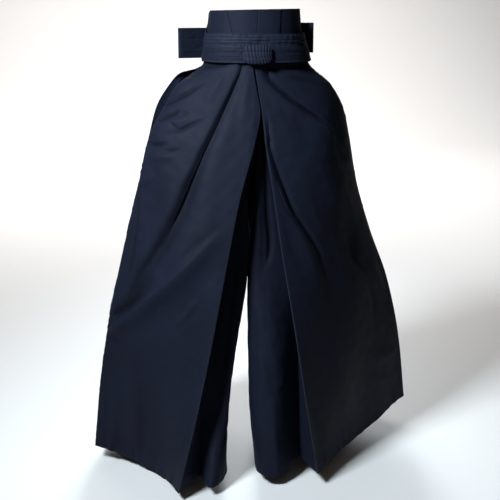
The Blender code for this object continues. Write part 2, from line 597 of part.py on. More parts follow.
def build_gusset(seams, material):
    """A saddle over the crotch whose two arms run down between the panels' inner leg seams."""
    spanned = np.flatnonzero((ROWS_Z < GUSSET_TOP_Z) & (ROWS_Z >= GUSSET_END_Z))
    clear = np.array([0.0, SEAM_GAP, 0.0])
    ridge = []
    for facing, sign in (("front", 1), ("back", -1)):
        ends = [seams[f"{facing}_panel_{side}"] for side in ("right", "left")]
        x, y = (np.mean([np.interp(-GUSSET_TOP_Z, -end[:, 2], end[:, k]) for end in ends]) for k in (0, 1))
        ridge.append(np.array([x, y + sign * SEAM_GAP, GUSSET_TOP_Z]))
    front = np.vstack([seams["front_panel_right"][spanned[::-1]], ridge[:1],
                       seams["front_panel_left"][spanned]]) + clear
    back = np.vstack([seams["back_panel_right"][spanned[::-1]], ridge[1:],
                      seams["back_panel_left"][spanned]]) - clear
    across = np.linspace(0, 1, 5)[None, :, None]
    walled("gusset", front[:, None] * (1 - across) + back[:, None] * across, CLOTH, material)


def build_panels(material):
    """The four leg panels; gives each one's line along the centre and inner leg seam."""
    trims = {-1: side_trims(FRONT_RIGHT, BACK_RIGHT), 1: side_trims(FRONT_LEFT, BACK_LEFT)}
    seams = {}
    for name, table, facing, mirror, pleats, hem, counts in PANELS:
        grid = panel_surface(table, facing, mirror, pleats, hem, counts, trims[mirror])
        walled(name, grid, CLOTH, material, flip=facing * mirror < 0)
        seams[name] = grid[:, -1]
    return seams


def clear_scene():
    """Remove the objects that the file starts with."""
    for thing in list(bpy.data.objects):
        bpy.data.objects.remove(thing)


def main():
    """Build every piece."""
    clear_scene()
    cloth = cloth_material("cloth", NAVY)
    ties = cloth_material("tie_cloth", TIE_NAVY)
    build_gusset(build_panels(cloth), cloth)
    build_ties(ties)


main()
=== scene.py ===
"""Pleated hakama trousers in navy cloth, worn and tied, on a plain pale floor.

Metres, +Z up, the front towards -Y and the wearer's right towards -X. The origin is the middle
of the waist at the height of the ties.
"""
import logging
import math
from dataclasses import dataclass, field
from enum import Enum
from typing import Any

import bpy
import numpy as np
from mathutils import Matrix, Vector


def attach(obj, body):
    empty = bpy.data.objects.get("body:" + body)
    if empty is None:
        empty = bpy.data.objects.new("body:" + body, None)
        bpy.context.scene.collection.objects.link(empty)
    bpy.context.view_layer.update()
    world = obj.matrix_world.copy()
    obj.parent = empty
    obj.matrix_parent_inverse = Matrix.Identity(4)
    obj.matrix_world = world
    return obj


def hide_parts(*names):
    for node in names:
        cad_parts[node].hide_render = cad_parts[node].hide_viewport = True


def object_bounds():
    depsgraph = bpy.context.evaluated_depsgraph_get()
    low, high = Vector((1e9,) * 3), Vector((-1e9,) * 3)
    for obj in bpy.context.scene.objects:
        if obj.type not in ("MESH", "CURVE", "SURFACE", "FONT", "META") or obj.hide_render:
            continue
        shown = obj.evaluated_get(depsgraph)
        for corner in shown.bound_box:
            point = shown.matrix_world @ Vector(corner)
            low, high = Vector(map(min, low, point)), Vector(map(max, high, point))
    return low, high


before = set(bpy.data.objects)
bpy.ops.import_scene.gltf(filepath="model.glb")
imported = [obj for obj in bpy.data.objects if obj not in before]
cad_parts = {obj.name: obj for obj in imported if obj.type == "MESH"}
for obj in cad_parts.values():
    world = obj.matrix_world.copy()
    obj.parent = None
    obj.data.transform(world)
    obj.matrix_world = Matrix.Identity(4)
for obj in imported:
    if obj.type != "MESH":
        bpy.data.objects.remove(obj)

Array = np.ndarray
CAD_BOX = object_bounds()
MILLIMETRE = 0.001
log = logging.getLogger("hakama")


# Working out curves


def smoothstep(low: float, high: float, value: Array) -> Array:
    """Rise smoothly from 0 at low to 1 at high.

    Args:
        low: Where the rise starts.
        high: Where it ends.
        value: Numbers to read it at.

    Returns:
        3t^2 - 2t^3 of the share t of the way from low to high.
    """
    t = np.clip((value - low) / (high - low), 0.0, 1.0)
    return t * t * (3.0 - 2.0 * t)


def through(keys: Array, values: Array, at: Array) -> Array:
    """Read a cubic that passes through key and value pairs and never overshoots them.

    Args:
        keys: Rising keys.
        values: One value for each key.
        at: Where to read the curve; beyond the ends it stays level.

    Returns:
        The Hermite cubic whose slope at a key is the harmonic mean of its neighbours' rises, or
        level where they differ in sign.
    """
    steps = np.diff(keys)
    rises = np.diff(values) / steps
    before, after = rises[:-1], rises[1:]
    slopes = np.concatenate([rises[:1], np.zeros(len(before)), rises[-1:]])
    same_way = np.flatnonzero(before * after > 0)
    slopes[1 + same_way] = (2 * before * after)[same_way] / (before + after)[same_way]
    at = np.clip(at, keys[0], keys[-1])
    i = np.clip(np.searchsorted(keys, at, side="right") - 1, 0, len(steps) - 1)
    t = (at - keys[i]) / steps[i]
    return ((1 + 2 * t) * (1 - t) ** 2 * values[i] + t * (1 - t) ** 2 * steps[i] * slopes[i]
            + t * t * (3 - 2 * t) * values[i + 1] + t * t * (t - 1) * steps[i] * slopes[i + 1])


def spline(points: Array, count: int) -> Array:
    """Run a Catmull-Rom curve through points.

    Args:
        points: Points, with any leading axes: (..., points, numbers).
        count: Steps for each span.

    Returns:
        Points along the curve, the last one included.
    """
    first = 2 * points[..., :1, :] - points[..., 1:2, :]
    last = 2 * points[..., -1:, :] - points[..., -2:-1, :]
    padded = np.concatenate([first, points, last], axis=-2)
    t = (np.arange(count) / count)[:, None]
    a, b, c, d = (padded[..., k:padded.shape[-2] - 3 + k, None, :] for k in range(4))
    spans = 0.5 * (2 * b + (c - a) * t + (2 * a - 5 * b + 4 * c - d) * t ** 2
                   + (3 * b - a - 3 * c + d) * t ** 3)
    joined = spans.reshape(*spans.shape[:-3], -1, spans.shape[-1])
    return np.concatenate([joined, points[..., -1:, :]], axis=-2)


def row_interp(at: Array, keys: Array, values: Array) -> Array:
    """Read each row's own curve: row r of the result is values[r] over keys[r] at at[r]."""
    return np.stack([np.interp(a, k, v) for a, k, v in zip(at, keys, values)])


def unit(vectors: Array) -> Array:
    """Scale vectors along the last axis to length 1."""
    return vectors / np.linalg.norm(vectors, axis=-1, keepdims=True)


def surface_normals(points: Array, around: bool = False) -> Array:
    """Work out a grid's unit normals from the differences across each point.

    Args:
        points: Grid of points, (rows, columns, 3).
        around: Whether the last column meets the first.

    Returns:
        Across times down, as unit vectors.
    """
    if around:
        points = np.concatenate([points[:, -1:], points, points[:, :1]], axis=1)
    normals = unit(np.cross(np.gradient(points, axis=1), np.gradient(points, axis=0)))
    return normals[:, 1:-1] if around else normals


def ripple(x: Array, z: Array, pitch: float, seed: int) -> Array:
    """Give a soft uneven surface: a sum of eight plane waves with fixed random directions.

    Args:
        x: First coordinate.
        z: Second coordinate.
        pitch: About how far apart its crests lie.
        seed: Chooses the pattern.

    Returns:
        Heights between about -1 and 1.
    """
    rng = np.random.default_rng(seed)
    turn = rng.uniform(0, 2 * np.pi, 8)
    size = 2 * np.pi / (pitch * rng.uniform(0.7, 1.6, 8))
    start = rng.uniform(0, 2 * np.pi, 8)
    waves = [np.sin(k * (x * np.cos(a) + z * np.sin(a)) + b) for a, k, b in zip(turn, size, start)]
    return sum(waves) / 3.2


@dataclass(frozen=True)
class Table:
    """Rows of named columns, read by the first one. Lengths are in millimetres.

    Attributes:
        names: Column names.
        rows: The rows, with the first column falling or rising.
        plain: Columns that hold bare numbers.
    """

    names: tuple[str, ...]
    rows: tuple[tuple[float, ...], ...]
    plain: tuple[str, ...] = ()

    def column(self, name: str) -> Array:
        """Give one column, lengths in metres."""
        index = self.names.index(name)
        return np.array([row[index] for row in self.rows]) * (1.0 if name in self.plain else MILLIMETRE)

    def at(self, name: str, key: Array) -> Array:
        """Read a column smoothly at values of the first column."""
        keys = self.column(self.names[0])
        sign = 1.0 if keys[-1] > keys[0] else -1.0
        return through(sign * keys, self.column(name), sign * np.asarray(key, float))


class Side(Enum):
    """Which leg of the wearer a piece belongs to; the value is the sign of its X."""

    RIGHT = -1
    LEFT = 1


class Facing(Enum):
    """Whether a panel lies in front or behind; the value is the sign of its Y."""

    FRONT = -1
    BACK = 1


class Cut(Enum):
    """How a fold's cross-section runs; the value is its sharpness on its two sides."""

    ROLL = (1.0, 1.0)
    STEEP_RIGHT = (1.0, 2.6)


@dataclass(frozen=True)
class Fold:
    """A soft ridge or trough that lies on a panel along a line.

    Attributes:
        line: Points of the line as x, z, height and half width in millimetres. A trough's height
            is negative.
        cut: Its cross-section, seen along the line.
    """

    line: tuple[tuple[float, float, float, float], ...]
    cut: Cut = Cut.ROLL

    def relief(self, x: Array, z: Array) -> Array:
        """Work out how far the fold lifts a surface.

        Args:
            x: X of the surface's points.
            z: Z of the surface's points.

        Returns:
            Height at the nearest point of the line times exp(-1.4 q^2), where q is the distance
            from it in half widths, made longer on a steep side.
        """
        path = spline(np.array(self.line) * MILLIMETRE, 6)
        reach = 3.0 * path[:, 3].max()
        near = ((x > path[:, 0].min() - reach) & (x < path[:, 0].max() + reach)
                & (z > path[:, 1].min() - reach) & (z < path[:, 1].max() + reach))
        lift = np.zeros_like(x)
        at = np.stack([x[near], z[near]], axis=1)
        least = np.full(len(at), np.inf)
        height = np.zeros(len(at))
        for a, b in zip(path[:-1], path[1:]):
            way = b[:2] - a[:2]
            share = np.clip((at - a[:2]) @ way / (way @ way), 0, 1)
            off = at - a[:2] - share[:, None] * way
            beside = way[0] * off[:, 1] - way[1] * off[:, 0]
            sharp = np.where(beside < 0, self.cut.value[1], self.cut.value[0])
            q = np.linalg.norm(off, axis=1) / (a[3] + share * (b[3] - a[3])) * sharp
            closer = q < least
            least = np.where(closer, q, least)
            height = np.where(closer, a[2] + share * (b[2] - a[2]), height)
        lift[near] = height * np.exp(-1.4 * least ** 2)
        return lift


# Shader building


class Signal:
    """A shader socket that arithmetic works on: each operation adds one Math node."""

    def __init__(self, board: "Board", socket: bpy.types.NodeSocket) -> None:
        """Wrap a socket of a board's tree."""
        self.board = board
        self.socket = socket

    def _math(self, operation: str, *values: Any) -> "Signal":
        """Add a Math node that works on these values."""
        return self.board.add("ShaderNodeMath", {"operation": operation}, dict(enumerate(values)))

    def __add__(self, other: Any) -> "Signal":
        """Add."""
        return self._math("ADD", self, other)

    __radd__ = __add__

    def __sub__(self, other: Any) -> "Signal":
        """Subtract."""
        return self._math("SUBTRACT", self, other)

    def __rsub__(self, other: Any) -> "Signal":
        """Subtract from a number."""
        return self._math("SUBTRACT", other, self)

    def __mul__(self, other: Any) -> "Signal":
        """Multiply."""
        return self._math("MULTIPLY", self, other)

    __rmul__ = __mul__

    def __truediv__(self, other: Any) -> "Signal":
        """Divide."""
        return self._math("DIVIDE", self, other)

    def __abs__(self) -> "Signal":
        """Give the absolute value."""
        return self._math("ABSOLUTE", self)

    def __lt__(self, other: Any) -> "Signal":
        """Give 1 where this is less."""
        return self._math("LESS_THAN", self, other)

    def sine(self) -> "Signal":
        """Give the sine."""
        return self._math("SINE", self)


class Board:
    """A material's node tree, with one method that adds any node."""

    def __init__(self, name: str) -> None:
        """Start a material with only its output."""
        self.material = bpy.data.materials.new(name)
        self.material.use_nodes = True
        self.tree = self.material.node_tree
        self.tree.nodes.clear()
        self.output = self.tree.nodes.new("ShaderNodeOutputMaterial")

    def add(self, kind: str, settings: dict[str, Any], inputs: dict[Any, Any], output: Any = 0) -> Signal:
        """Add a node.

        Args:
            kind: The node's type.
            settings: Properties, set first.
            inputs: Values or signals by the socket's name or number.
            output: Which output to give.

        Returns:
            That output as a signal.
        """
        node = self.tree.nodes.new(kind)
        for key, value in settings.items():
            setattr(node, key, value)
        for key, value in inputs.items():
            if isinstance(value, Signal):
                self.tree.links.new(value.socket, node.inputs[key])
            else:
                node.inputs[key].default_value = value
        return Signal(self, node.outputs[output])

    def noise(self, vector: Signal, scale: float, detail: float) -> Signal:
        """Add noise of about 0.5 on average along a vector."""
        inputs = {"Vector": vector, "Scale": scale, "Detail": detail, "Roughness": 0.55}
        return self.add("ShaderNodeTexNoise", {"noise_dimensions": "3D"}, inputs)

    def mix(self, factor: Any, first: Any, second: Any) -> Signal:
        """Mix two colours."""
        inputs = {"Factor": factor, 6: first, 7: second}
        return self.add("ShaderNodeMix", {"data_type": "RGBA"}, inputs, 2)

    def scaled(self, vector: Signal, by: tuple[float, float, float]) -> Signal:
        """Multiply a vector by three numbers."""
        return self.add("ShaderNodeVectorMath", {"operation": "MULTIPLY"}, {0: vector, 1: by})

    def finish(self, surface: Signal) -> bpy.types.Material:
        """Join the surface to the output and give the material."""
        self.tree.links.new(surface.socket, self.output.inputs["Surface"])
        return self.material


@dataclass(frozen=True)
class ClothFinish:
    """Plain woven navy cloth with a soft sheen.

    Attributes:
        name: The material's name.
        deep: Colour where the dye is strongest.
        bright: Colour where it is lighter and bluer.
        wear_and_highlight: Lighter colour of folded and raised edges, partly wear and partly a painted
            highlight; the stitches take it too.
        crease_shade: Painted shade, the colour deep in the creases and pleat valleys.
        thread: Pitch of the weave.
        crumple: Height of the small crumples.
        rough: Roughness on average.
    """

    name: str
    deep: tuple[float, float, float, float] = (0.0056, 0.0060, 0.0122, 1.0)
    bright: tuple[float, float, float, float] = (0.0072, 0.0098, 0.0192, 1.0)
    wear_and_highlight: tuple[float, float, float, float] = (0.0240, 0.0300, 0.0450, 1.0)
    crease_shade: tuple[float, float, float, float] = (0.0022, 0.0024, 0.0046, 1.0)
    thread: float = 0.0007
    crumple: float = 0.00035
    rough: float = 0.62

    def material(self) -> bpy.types.Material:
        """Build the material.

        Threads run along the piece's own UV map, whose unit is a metre. The height is a plain
        weave, sin(u) times sin(v), with slubs along both ways of the cloth, small crumples and a
        groove with raised stitches along each sewn line.
        """
        board = Board(self.name)
        along = board.add("ShaderNodeUVMap", {"uv_map": "cloth"}, {})
        place = board.add("ShaderNodeTexCoord", {}, {}, "Object")
        split = board.add("ShaderNodeSeparateXYZ", {}, {0: along})
        u, v = split, Signal(board, split.socket.node.outputs[1])
        turn = 2 * math.pi / self.thread
        weave = (u * turn).sine() * (v * turn).sine()
        warp = board.noise(board.scaled(along, (900.0, 22.0, 1.0)), 1.0, 2.0)
        weft = board.noise(board.scaled(along, (22.0, 900.0, 1.0)), 1.0, 2.0)
        streak = board.noise(board.scaled(along, (130.0, 7.0, 1.0)), 1.0, 3.0)
        cloud = board.noise(place, 7.0, 3.0)
        small = board.noise(place, 46.0, 4.0)
        fine = board.noise(place, 150.0, 3.0)
        wear_and_highlight = board.add("ShaderNodeAttribute", {"attribute_name": "wear_and_highlight"}, {}, "Fac")
        sewn = abs(board.add("ShaderNodeAttribute", {"attribute_name": "sewn"}, {}, "Fac"))
        groove = sewn < 0.0011
        dash = (u * (2 * math.pi / 0.0042)).sine() < 0.45
        stitch = (sewn < 0.0004) * dash
        tone = cloud * 1.3 + warp * 0.35 + weft * 0.35 + streak * 0.5 - 0.75
        colour = board.mix(tone, self.deep, self.bright)
        # Painted shade: darker deep in the creases and pleat valleys.
        crease_shade = board.add("ShaderNodeAttribute", {"attribute_name": "crease_shade"}, {}, "Fac")
        colour = board.mix(crease_shade, colour, self.crease_shade)
        # Folded and raised edges lighter: partly wear, partly a painted highlight.
        colour = board.mix(wear_and_highlight * (small * 0.5 + 0.25), colour, self.wear_and_highlight)
        # The stitches in the same lighter colour, their thread's own.
        colour = board.mix(stitch * 0.35, colour, self.wear_and_highlight)
        rough = warp * 0.10 + weft * 0.10 + small * 0.12 - wear_and_highlight * 0.10 + (self.rough - 0.16)
        height = (weave * 0.000012 + (warp + weft) * 0.00006 + small * (self.crumple * 2.4)
                  + fine * (self.crumple * 0.45) - groove * 0.00022 + stitch * 0.00030)
        bump = board.add("ShaderNodeBump", {}, {"Strength": 1.0, "Distance": 1.0, "Height": height})
        inputs = {"Base Color": colour, "Roughness": rough, "Normal": bump,
                  "Specular IOR Level": 0.05, "Sheen Weight": 0.003, "Sheen Roughness": 0.45,
                  "Sheen Tint": (0.62, 0.78, 1.0, 1.0)}
        return board.finish(board.add("ShaderNodeBsdfPrincipled", {}, inputs))


@dataclass(frozen=True)
class FloorFinish:
    """Pale matt studio floor, very slightly mottled."""

    name: str = "pale_floor"
    light: tuple[float, float, float, float] = (0.72, 0.71, 0.70, 1.0)
    dark: tuple[float, float, float, float] = (0.69, 0.68, 0.67, 1.0)

    def material(self) -> bpy.types.Material:
        """Build the material."""
        board = Board(self.name)
        place = board.add("ShaderNodeTexCoord", {}, {}, "Object")
        colour = board.mix(board.noise(place, 0.8, 2.0), self.light, self.dark)
        inputs = {"Base Color": colour, "Roughness": 0.9, "Specular IOR Level": 0.1}
        return board.finish(board.add("ShaderNodeBsdfPrincipled", {}, inputs))


# Mesh making


@dataclass
class Sheet:
    """A grid of cloth points with what the material reads.

    Attributes:
        points: Middle of the cloth, (rows, columns, 3).
        along: Distance along the cloth's width at each point.
        up: Distance from the hem or lower edge at each point.
        wear_and_highlight: How worn the cloth is and how strong its painted highlight, from 0 to 1.
        sewn: Distance to the nearest line of stitches.
        crease_shade: How deep in a crease or pleat valley the cloth lies, from 0 to 1, which sets the
            painted shade there.
        around: Whether the last column meets the first.
    """

    points: Array
    along: Array
    up: Array
    wear_and_highlight: Array
    sewn: Array
    crease_shade: Array
    around: bool = False

    @staticmethod
    def measured(points: Array, around: bool = False) -> "Sheet":
        """Start a sheet from points: along and up are lengths of the cloth itself."""
        wide = np.linalg.norm(np.diff(points, axis=1), axis=2)
        high = np.linalg.norm(np.diff(points, axis=0), axis=2)
        along = np.pad(np.cumsum(wide, axis=1), ((0, 0), (1, 0)))
        along = np.broadcast_to(along.mean(axis=0), along.shape) if around else along
        up = np.pad(np.cumsum(high[::-1], axis=0), ((1, 0), (0, 0)))[::-1]
        blank = np.zeros(points.shape[:2])
        return Sheet(points, along, up, blank, blank + 0.01, blank, around)

    def lifted(self, height: Array, outward: Array) -> "Sheet":
        """Move the points along outward by height."""
        self.points = self.points + outward * height[..., None]
        return self

    def wall(self, name: str, thickness: float, outward: int = 1) -> bpy.types.Object:
        """Build the sheet as a closed wall.

        Args:
            name: The object's name.
            thickness: The cloth's thickness.
            outward: 1 where the grid's normals point out of the garment, -1 where they point in.

        Returns:
            The object. Both faces lie half the thickness from the grid, and a rim joins them.
        """
        normals = surface_normals(self.points, self.around) * outward
        rows, columns = self.points.shape[:2]
        wide = columns if self.around else columns - 1
        spots = np.concatenate([self.points + normals * thickness / 2,
                                self.points - normals * thickness / 2]).reshape(-1, 3)
        r, c = np.meshgrid(np.arange(rows - 1), np.arange(wide), indexing="ij")
        a = (r * columns + c).ravel()
        b = (r * columns + (c + 1) % columns).ravel()
        quads = np.stack([a, b, b + columns, a + columns], axis=1)
        if outward < 0:
            quads = quads[:, ::-1]
        far = rows * columns
        edge = quads_along(np.arange(wide), columns, rows, self.around)
        sides = np.concatenate([np.stack([p, p + far, q + far, q], axis=1) for p, q in edge])
        if outward < 0:
            sides = sides[:, ::-1]
        faces = np.concatenate([quads, quads[:, ::-1] + far, sides])
        extras = {key: np.tile(getattr(self, key).ravel(), 2) for key in ("wear_and_highlight", "sewn", "crease_shade")}
        cloth_uv = np.tile(np.stack([self.along.ravel(), self.up.ravel()], axis=1), (2, 1))
        return mesh_object(name, spots, faces, cloth_uv, extras)


def quads_along(steps: Array, columns: int, rows: int, around: bool) -> list[tuple[Array, Array]]:
    """List a grid's rim as pairs of arrays: where each rim edge starts and ends, one way round."""
    top = (steps, (steps + 1) % columns)
    base = (rows - 1) * columns
    bottom = (base + (steps + 1) % columns, base + steps)
    if around:
        return [top, bottom]
    down = np.arange(rows - 1) * columns
    right = (down + columns - 1, down + 2 * columns - 1)
    left = (down + columns, down)
    return [top, right, bottom, left]


def mesh_object(name: str, spots: Array, faces: Array, uv: Array,
                extras: dict[str, Array]) -> bpy.types.Object:
    """Put arrays into a mesh object.

    Args:
        name: The object's name.
        spots: Vertices.
        faces: Four vertex numbers for each face.
        uv: The cloth map's two numbers for each vertex.
        extras: Further numbers for each vertex, by name.

    Returns:
        The linked object, shaded smooth but for its sharp rims.
    """
    mesh = bpy.data.meshes.new(name)
    mesh.vertices.add(len(spots))
    mesh.vertices.foreach_set("co", spots.astype(np.float32).ravel())
    mesh.loops.add(faces.size)
    mesh.loops.foreach_set("vertex_index", faces.astype(np.int32).ravel())
    mesh.polygons.add(len(faces))
    mesh.polygons.foreach_set("loop_start", np.arange(0, faces.size, 4, dtype=np.int32))
    mesh.update(calc_edges=True)
    layer = mesh.uv_layers.new(name="cloth")
    layer.data.foreach_set("uv", uv[faces.ravel()].astype(np.float32).ravel())
    for key, values in extras.items():
        attribute = mesh.attributes.new(key, "FLOAT", "POINT")
        attribute.data.foreach_set("value", values.astype(np.float32))
    mesh.validate()
    mesh.shade_smooth()
    mesh.set_sharp_from_angle(angle=math.radians(62))
    thing = bpy.data.objects.new(name, mesh)
    bpy.context.scene.collection.objects.link(thing)
    return thing


# The legs


PANEL_COLUMNS = ("z", "side_out", "side_y", "round", "edge_out", "edge_y", "recess_out", "recess_y",
                 "crest_out", "crest_y", "inner_out", "inner_y", "seam_gap", "seam_y")
FRONT_RIGHT = (
    (  85, 96.5,   0,  1.00,  0.6,  -79.5,  36, -67.5,    24, -68.5,   12,   -69, 0.5, -68.5),
    (  36,  101,   0,  1.00,    4,  -83.5,  40, -71.5,    27, -72.5,   13,   -73, 0.5, -72.5),
    ( -26,  111,   0,  1.00,   12,  -88.5,  48, -76.5,    32, -77.5,   16,   -78, 0.5, -76.5),
    ( -75,  170,  -8,  0.95,  6.5,    -99,  45, -84.5,    31, -84.5,   15,   -84, 0.5,   -82),
    (-125,  203, -18,  0.90, -0.5,   -115,  44,   -94,    30, -92.5,   15, -91.5, 0.5, -89.5),
    (-185,  234, -28,  0.85,   12,   -131,  50,   -99,    34,   -97,   18,   -97, 0.8, -96.5),
    (-300,  262, -35,  0.70,   46,   -156,  66,   -96,    45, -95.5,   27,   -96, 1.3,   -80),
    (-420,  293, -45,  0.50,   73, -176.5,  84,  -103,    52,  -107, 22.5,  -106, 6.5,   -40),
    (-560,  325, -50,  0.20,  103,   -197, 106,  -121,    68,  -128,   40,  -125,  18,    -3),
    (-730,  355, -42, -0.30,  143, -222.5, 133,  -152,    88,  -155,   69,  -146,  37,     0),
    (-905,  375, -30, -0.80,  190,   -254, 140,  -192, 116.5,  -236,   80,  -165,  67,     0),
)
FRONT_LEFT = (
    (  85, 97.5,   0,  1.00,  0.1,  -79.3, 36, -64.5, 22, -65.5,    10,   -67, 0.5, -68.5),
    (  36,  102,   0,  1.00, -3.3,  -83.2, 36, -68.5, 22, -69.5,    10,   -71, 0.5, -72.5),
    ( -26,  117,   0,  1.00,   -8,  -86.5, 30, -73.5, 20, -74.5,    10,   -76, 0.5, -76.5),
    ( -75,  169,   4,  0.95, -2.5,  -96.5, 40, -81.5, 26, -81.5,    12,   -82, 0.5,   -82),
    (-125,  199,  10,  0.90,  4.5,   -112, 44,   -91, 28, -89.5,    12, -89.5, 0.5, -89.5),
    (-185,  216,  22,  0.85,  9.5,   -130, 47, -98.5, 24, -98.5,     9, -98.5, 0.8, -96.5),
    (-300,  241,  40,  0.70, 25.5,   -147, 60,   -98, 16,  -104,    -7,  -100, 1.3,   -80),
    (-420,  278,  52,  0.50,   43, -164.5, 75,  -103, 10,  -115, -18.7,  -104,   6,   -40),
    (-560,  328,  70,  0.25, 65.5,   -182, 84,  -110, 18,  -150,   -26,  -124,   7,    -3),
    (-730,  366,  87,  0.00,   91, -201.5, 88,  -118, 26,  -178, -23.5,  -144,  11,     0),
    (-905,  389, 100, -0.30,  119,   -215, 90,  -136, 34,  -205,   -11,  -168,  18,     0),
)
BACK_RIGHT = (
    (  85,  90,  22,  1.00,   4,  78,  36, 66.5,   24,   68,   12,  70, 0.5, 71.5),
    (  36,  94,  28,  1.00,   4,  82,  36, 70.5,   24,   72,   12,  74, 0.5, 75.5),
    ( -26, 104,  36,  0.95,   4,  88,  38,   76,   26, 77.5,   13,  79, 0.5, 80.5),
    ( -42, 124,  46,  0.90, 4.8,  96,  41,   84,   28, 85.5, 13.6,  87, 0.5, 88.5),
    ( -52, 160,  56,  0.85, 5.2, 102,  42,   90, 28.5, 91.5,   14,  93, 0.5,   94),
    ( -75, 184,  50,  0.80,   6, 118,  45,  104,   30,  105,   15, 107, 0.5,  108),
    (-125, 216,  28,  0.85,  10, 138,  50,  118,   34,  119,   17, 121, 0.5,  122),
    (-185, 234, -24,  1.00,  15, 150,  55,  124,   38,  124,   20, 126, 0.8,  126),
    (-300, 262, -35,  1.10,  35, 170,  70,  120,   50,  115,   34, 108, 1.3,   85),
    (-420, 293, -45,  1.10,  55, 184,  82,  122,   62,  117,   44, 105, 6.5,   45),
    (-560, 325, -50,  1.10,  80, 200,  98,  132,   78,  128,   56, 115,  18,    3),
    (-730, 355, -42,  1.05, 108, 218, 118,  146,   96,  146,   70, 130,  37,    0),
    (-905, 375, -30,  1.00, 135, 235, 136,  160,  114,  162,   84, 145,  67,    0),
)
BACK_LEFT = (
    (  85,  90,  22,  1.00,   4,  78,  36, 66.5, 24,   68, 12,  70, 0.5, 71.5),
    (  36,  94,  28,  1.00,   4,  82,  36, 70.5, 24,   72, 12,  74, 0.5, 75.5),
    ( -26, 104,  36,  0.95,   4,  88,  38,   76, 26, 77.5, 13,  79, 0.5, 80.5),
    ( -75, 154,  36,  0.85,   6, 118,  45,  104, 30,  105, 15, 107, 0.5,  108),
    (-125, 186,  40,  0.85,  10, 139,  50,  119, 34,  120, 17, 122, 0.5,  122),
    (-185, 214,  28,  0.95,  14, 154,  55,  128, 36,  128, 16, 128, 0.8,  126),
    (-300, 241,  40,  1.00,  30, 178,  64,  128, 40,  124, 12, 112, 1.3,   85),
    (-420, 278,  52,  1.00,  48, 197,  76,  138, 48,  134, 18, 112,   6,   45),
    (-560, 328,  70,  0.95,  68, 218,  88,  152, 56,  148, 22, 120,   7,    3),
    (-730, 366,  87,  0.90,  94, 241, 100,  170, 66,  166, 26, 135,  11,    0),
    (-905, 389, 100,  0.85, 118, 260, 108,  188, 74,  185, 30, 150,  18,    0),
)
CENTRE_LINE = Table(("z", "x"), ((85, 0), (-125, 0), (-185, -4.3), (-300, -18), (-905, -18)))
TOP_Z, CROTCH_Z, HEM_Z = 0.085, -0.300, -0.905
TOP_SLOPE = 0.02
PANEL_THICK = 0.0009
PLEAT_COLUMNS = ("z", "out", "closed", "rise", "valley", "width")
RIGHT_OUTER_PLEAT = (
    (85, 66, 1.0, 2.6, 0.0, 5), (36, 54.5, 1.0, 2.6, 0.0, 5), (-30, 38, 1.0, 2.6, 3.0, 6),
    (-72, 53, 1.0, 2.8, 5.0, 7), (-117, 75, 1.0, 3.2, 6.0, 9), (-157, 95, 1.0, 3.6, 7.0, 11),
    (-212, 123, 0.95, 4.2, 8.0, 13), (-270, 149, 0.8, 5.5, 9.5, 16), (-327, 173, 0.45, 6.0, 10.0, 20),
    (-378, 200, 0.2, 5.0, 10.0, 22), (-437, 234, 0.05, 3.0, 8.5, 23), (-489, 266, 0.0, 1.0, 6.0, 22),
    (-560, 290, 0.0, 0.0, 2.0, 20), (-640, 295, 0.0, 0.0, 0.0, 20),
)
LEFT_OUTER_PLEAT = (
    (85, 48, 1.0, 1.5, 0.0, 5), (36, 45, 1.0, 1.5, 0.0, 5), (-26, 18, 1.0, 2.4, 3.5, 6),
    (-48, 19, 1.0, 2.6, 6.0, 8), (-76, 41, 0.95, 3.0, 8.0, 9), (-103, 73, 0.8, 4.0, 9.0, 9),
    (-126, 106, 0.55, 4.6, 8.5, 9), (-148, 138, 0.3, 4.0, 6.5, 9), (-180, 168, 0.1, 2.5, 3.0, 10),
    (-250, 182, 0.0, 0.0, 0.0, 10),
)
LEFT_INNER_PLEAT = (
    (-95, 14, 0.0, 0.0, 0.0, 4), (-128, 15, 0.0, 0.0, 0.0, 4), (-155, 17, 0.6, 1.8, 3.0, 5),
    (-193, 19, 1.0, 3.0, 6.0, 6), (-238, 33, 1.0, 3.3, 7.0, 7), (-294, 54, 1.0, 3.6, 7.5, 8),
    (-325, 67, 0.95, 4.0, 7.5, 9), (-377, 99, 0.6, 5.0, 7.5, 11), (-412, 122, 0.35, 5.0, 6.5, 13),
    (-480, 145, 0.1, 2.5, 4.0, 15), (-560, 160, 0.0, 0.0, 0.0, 15),
)


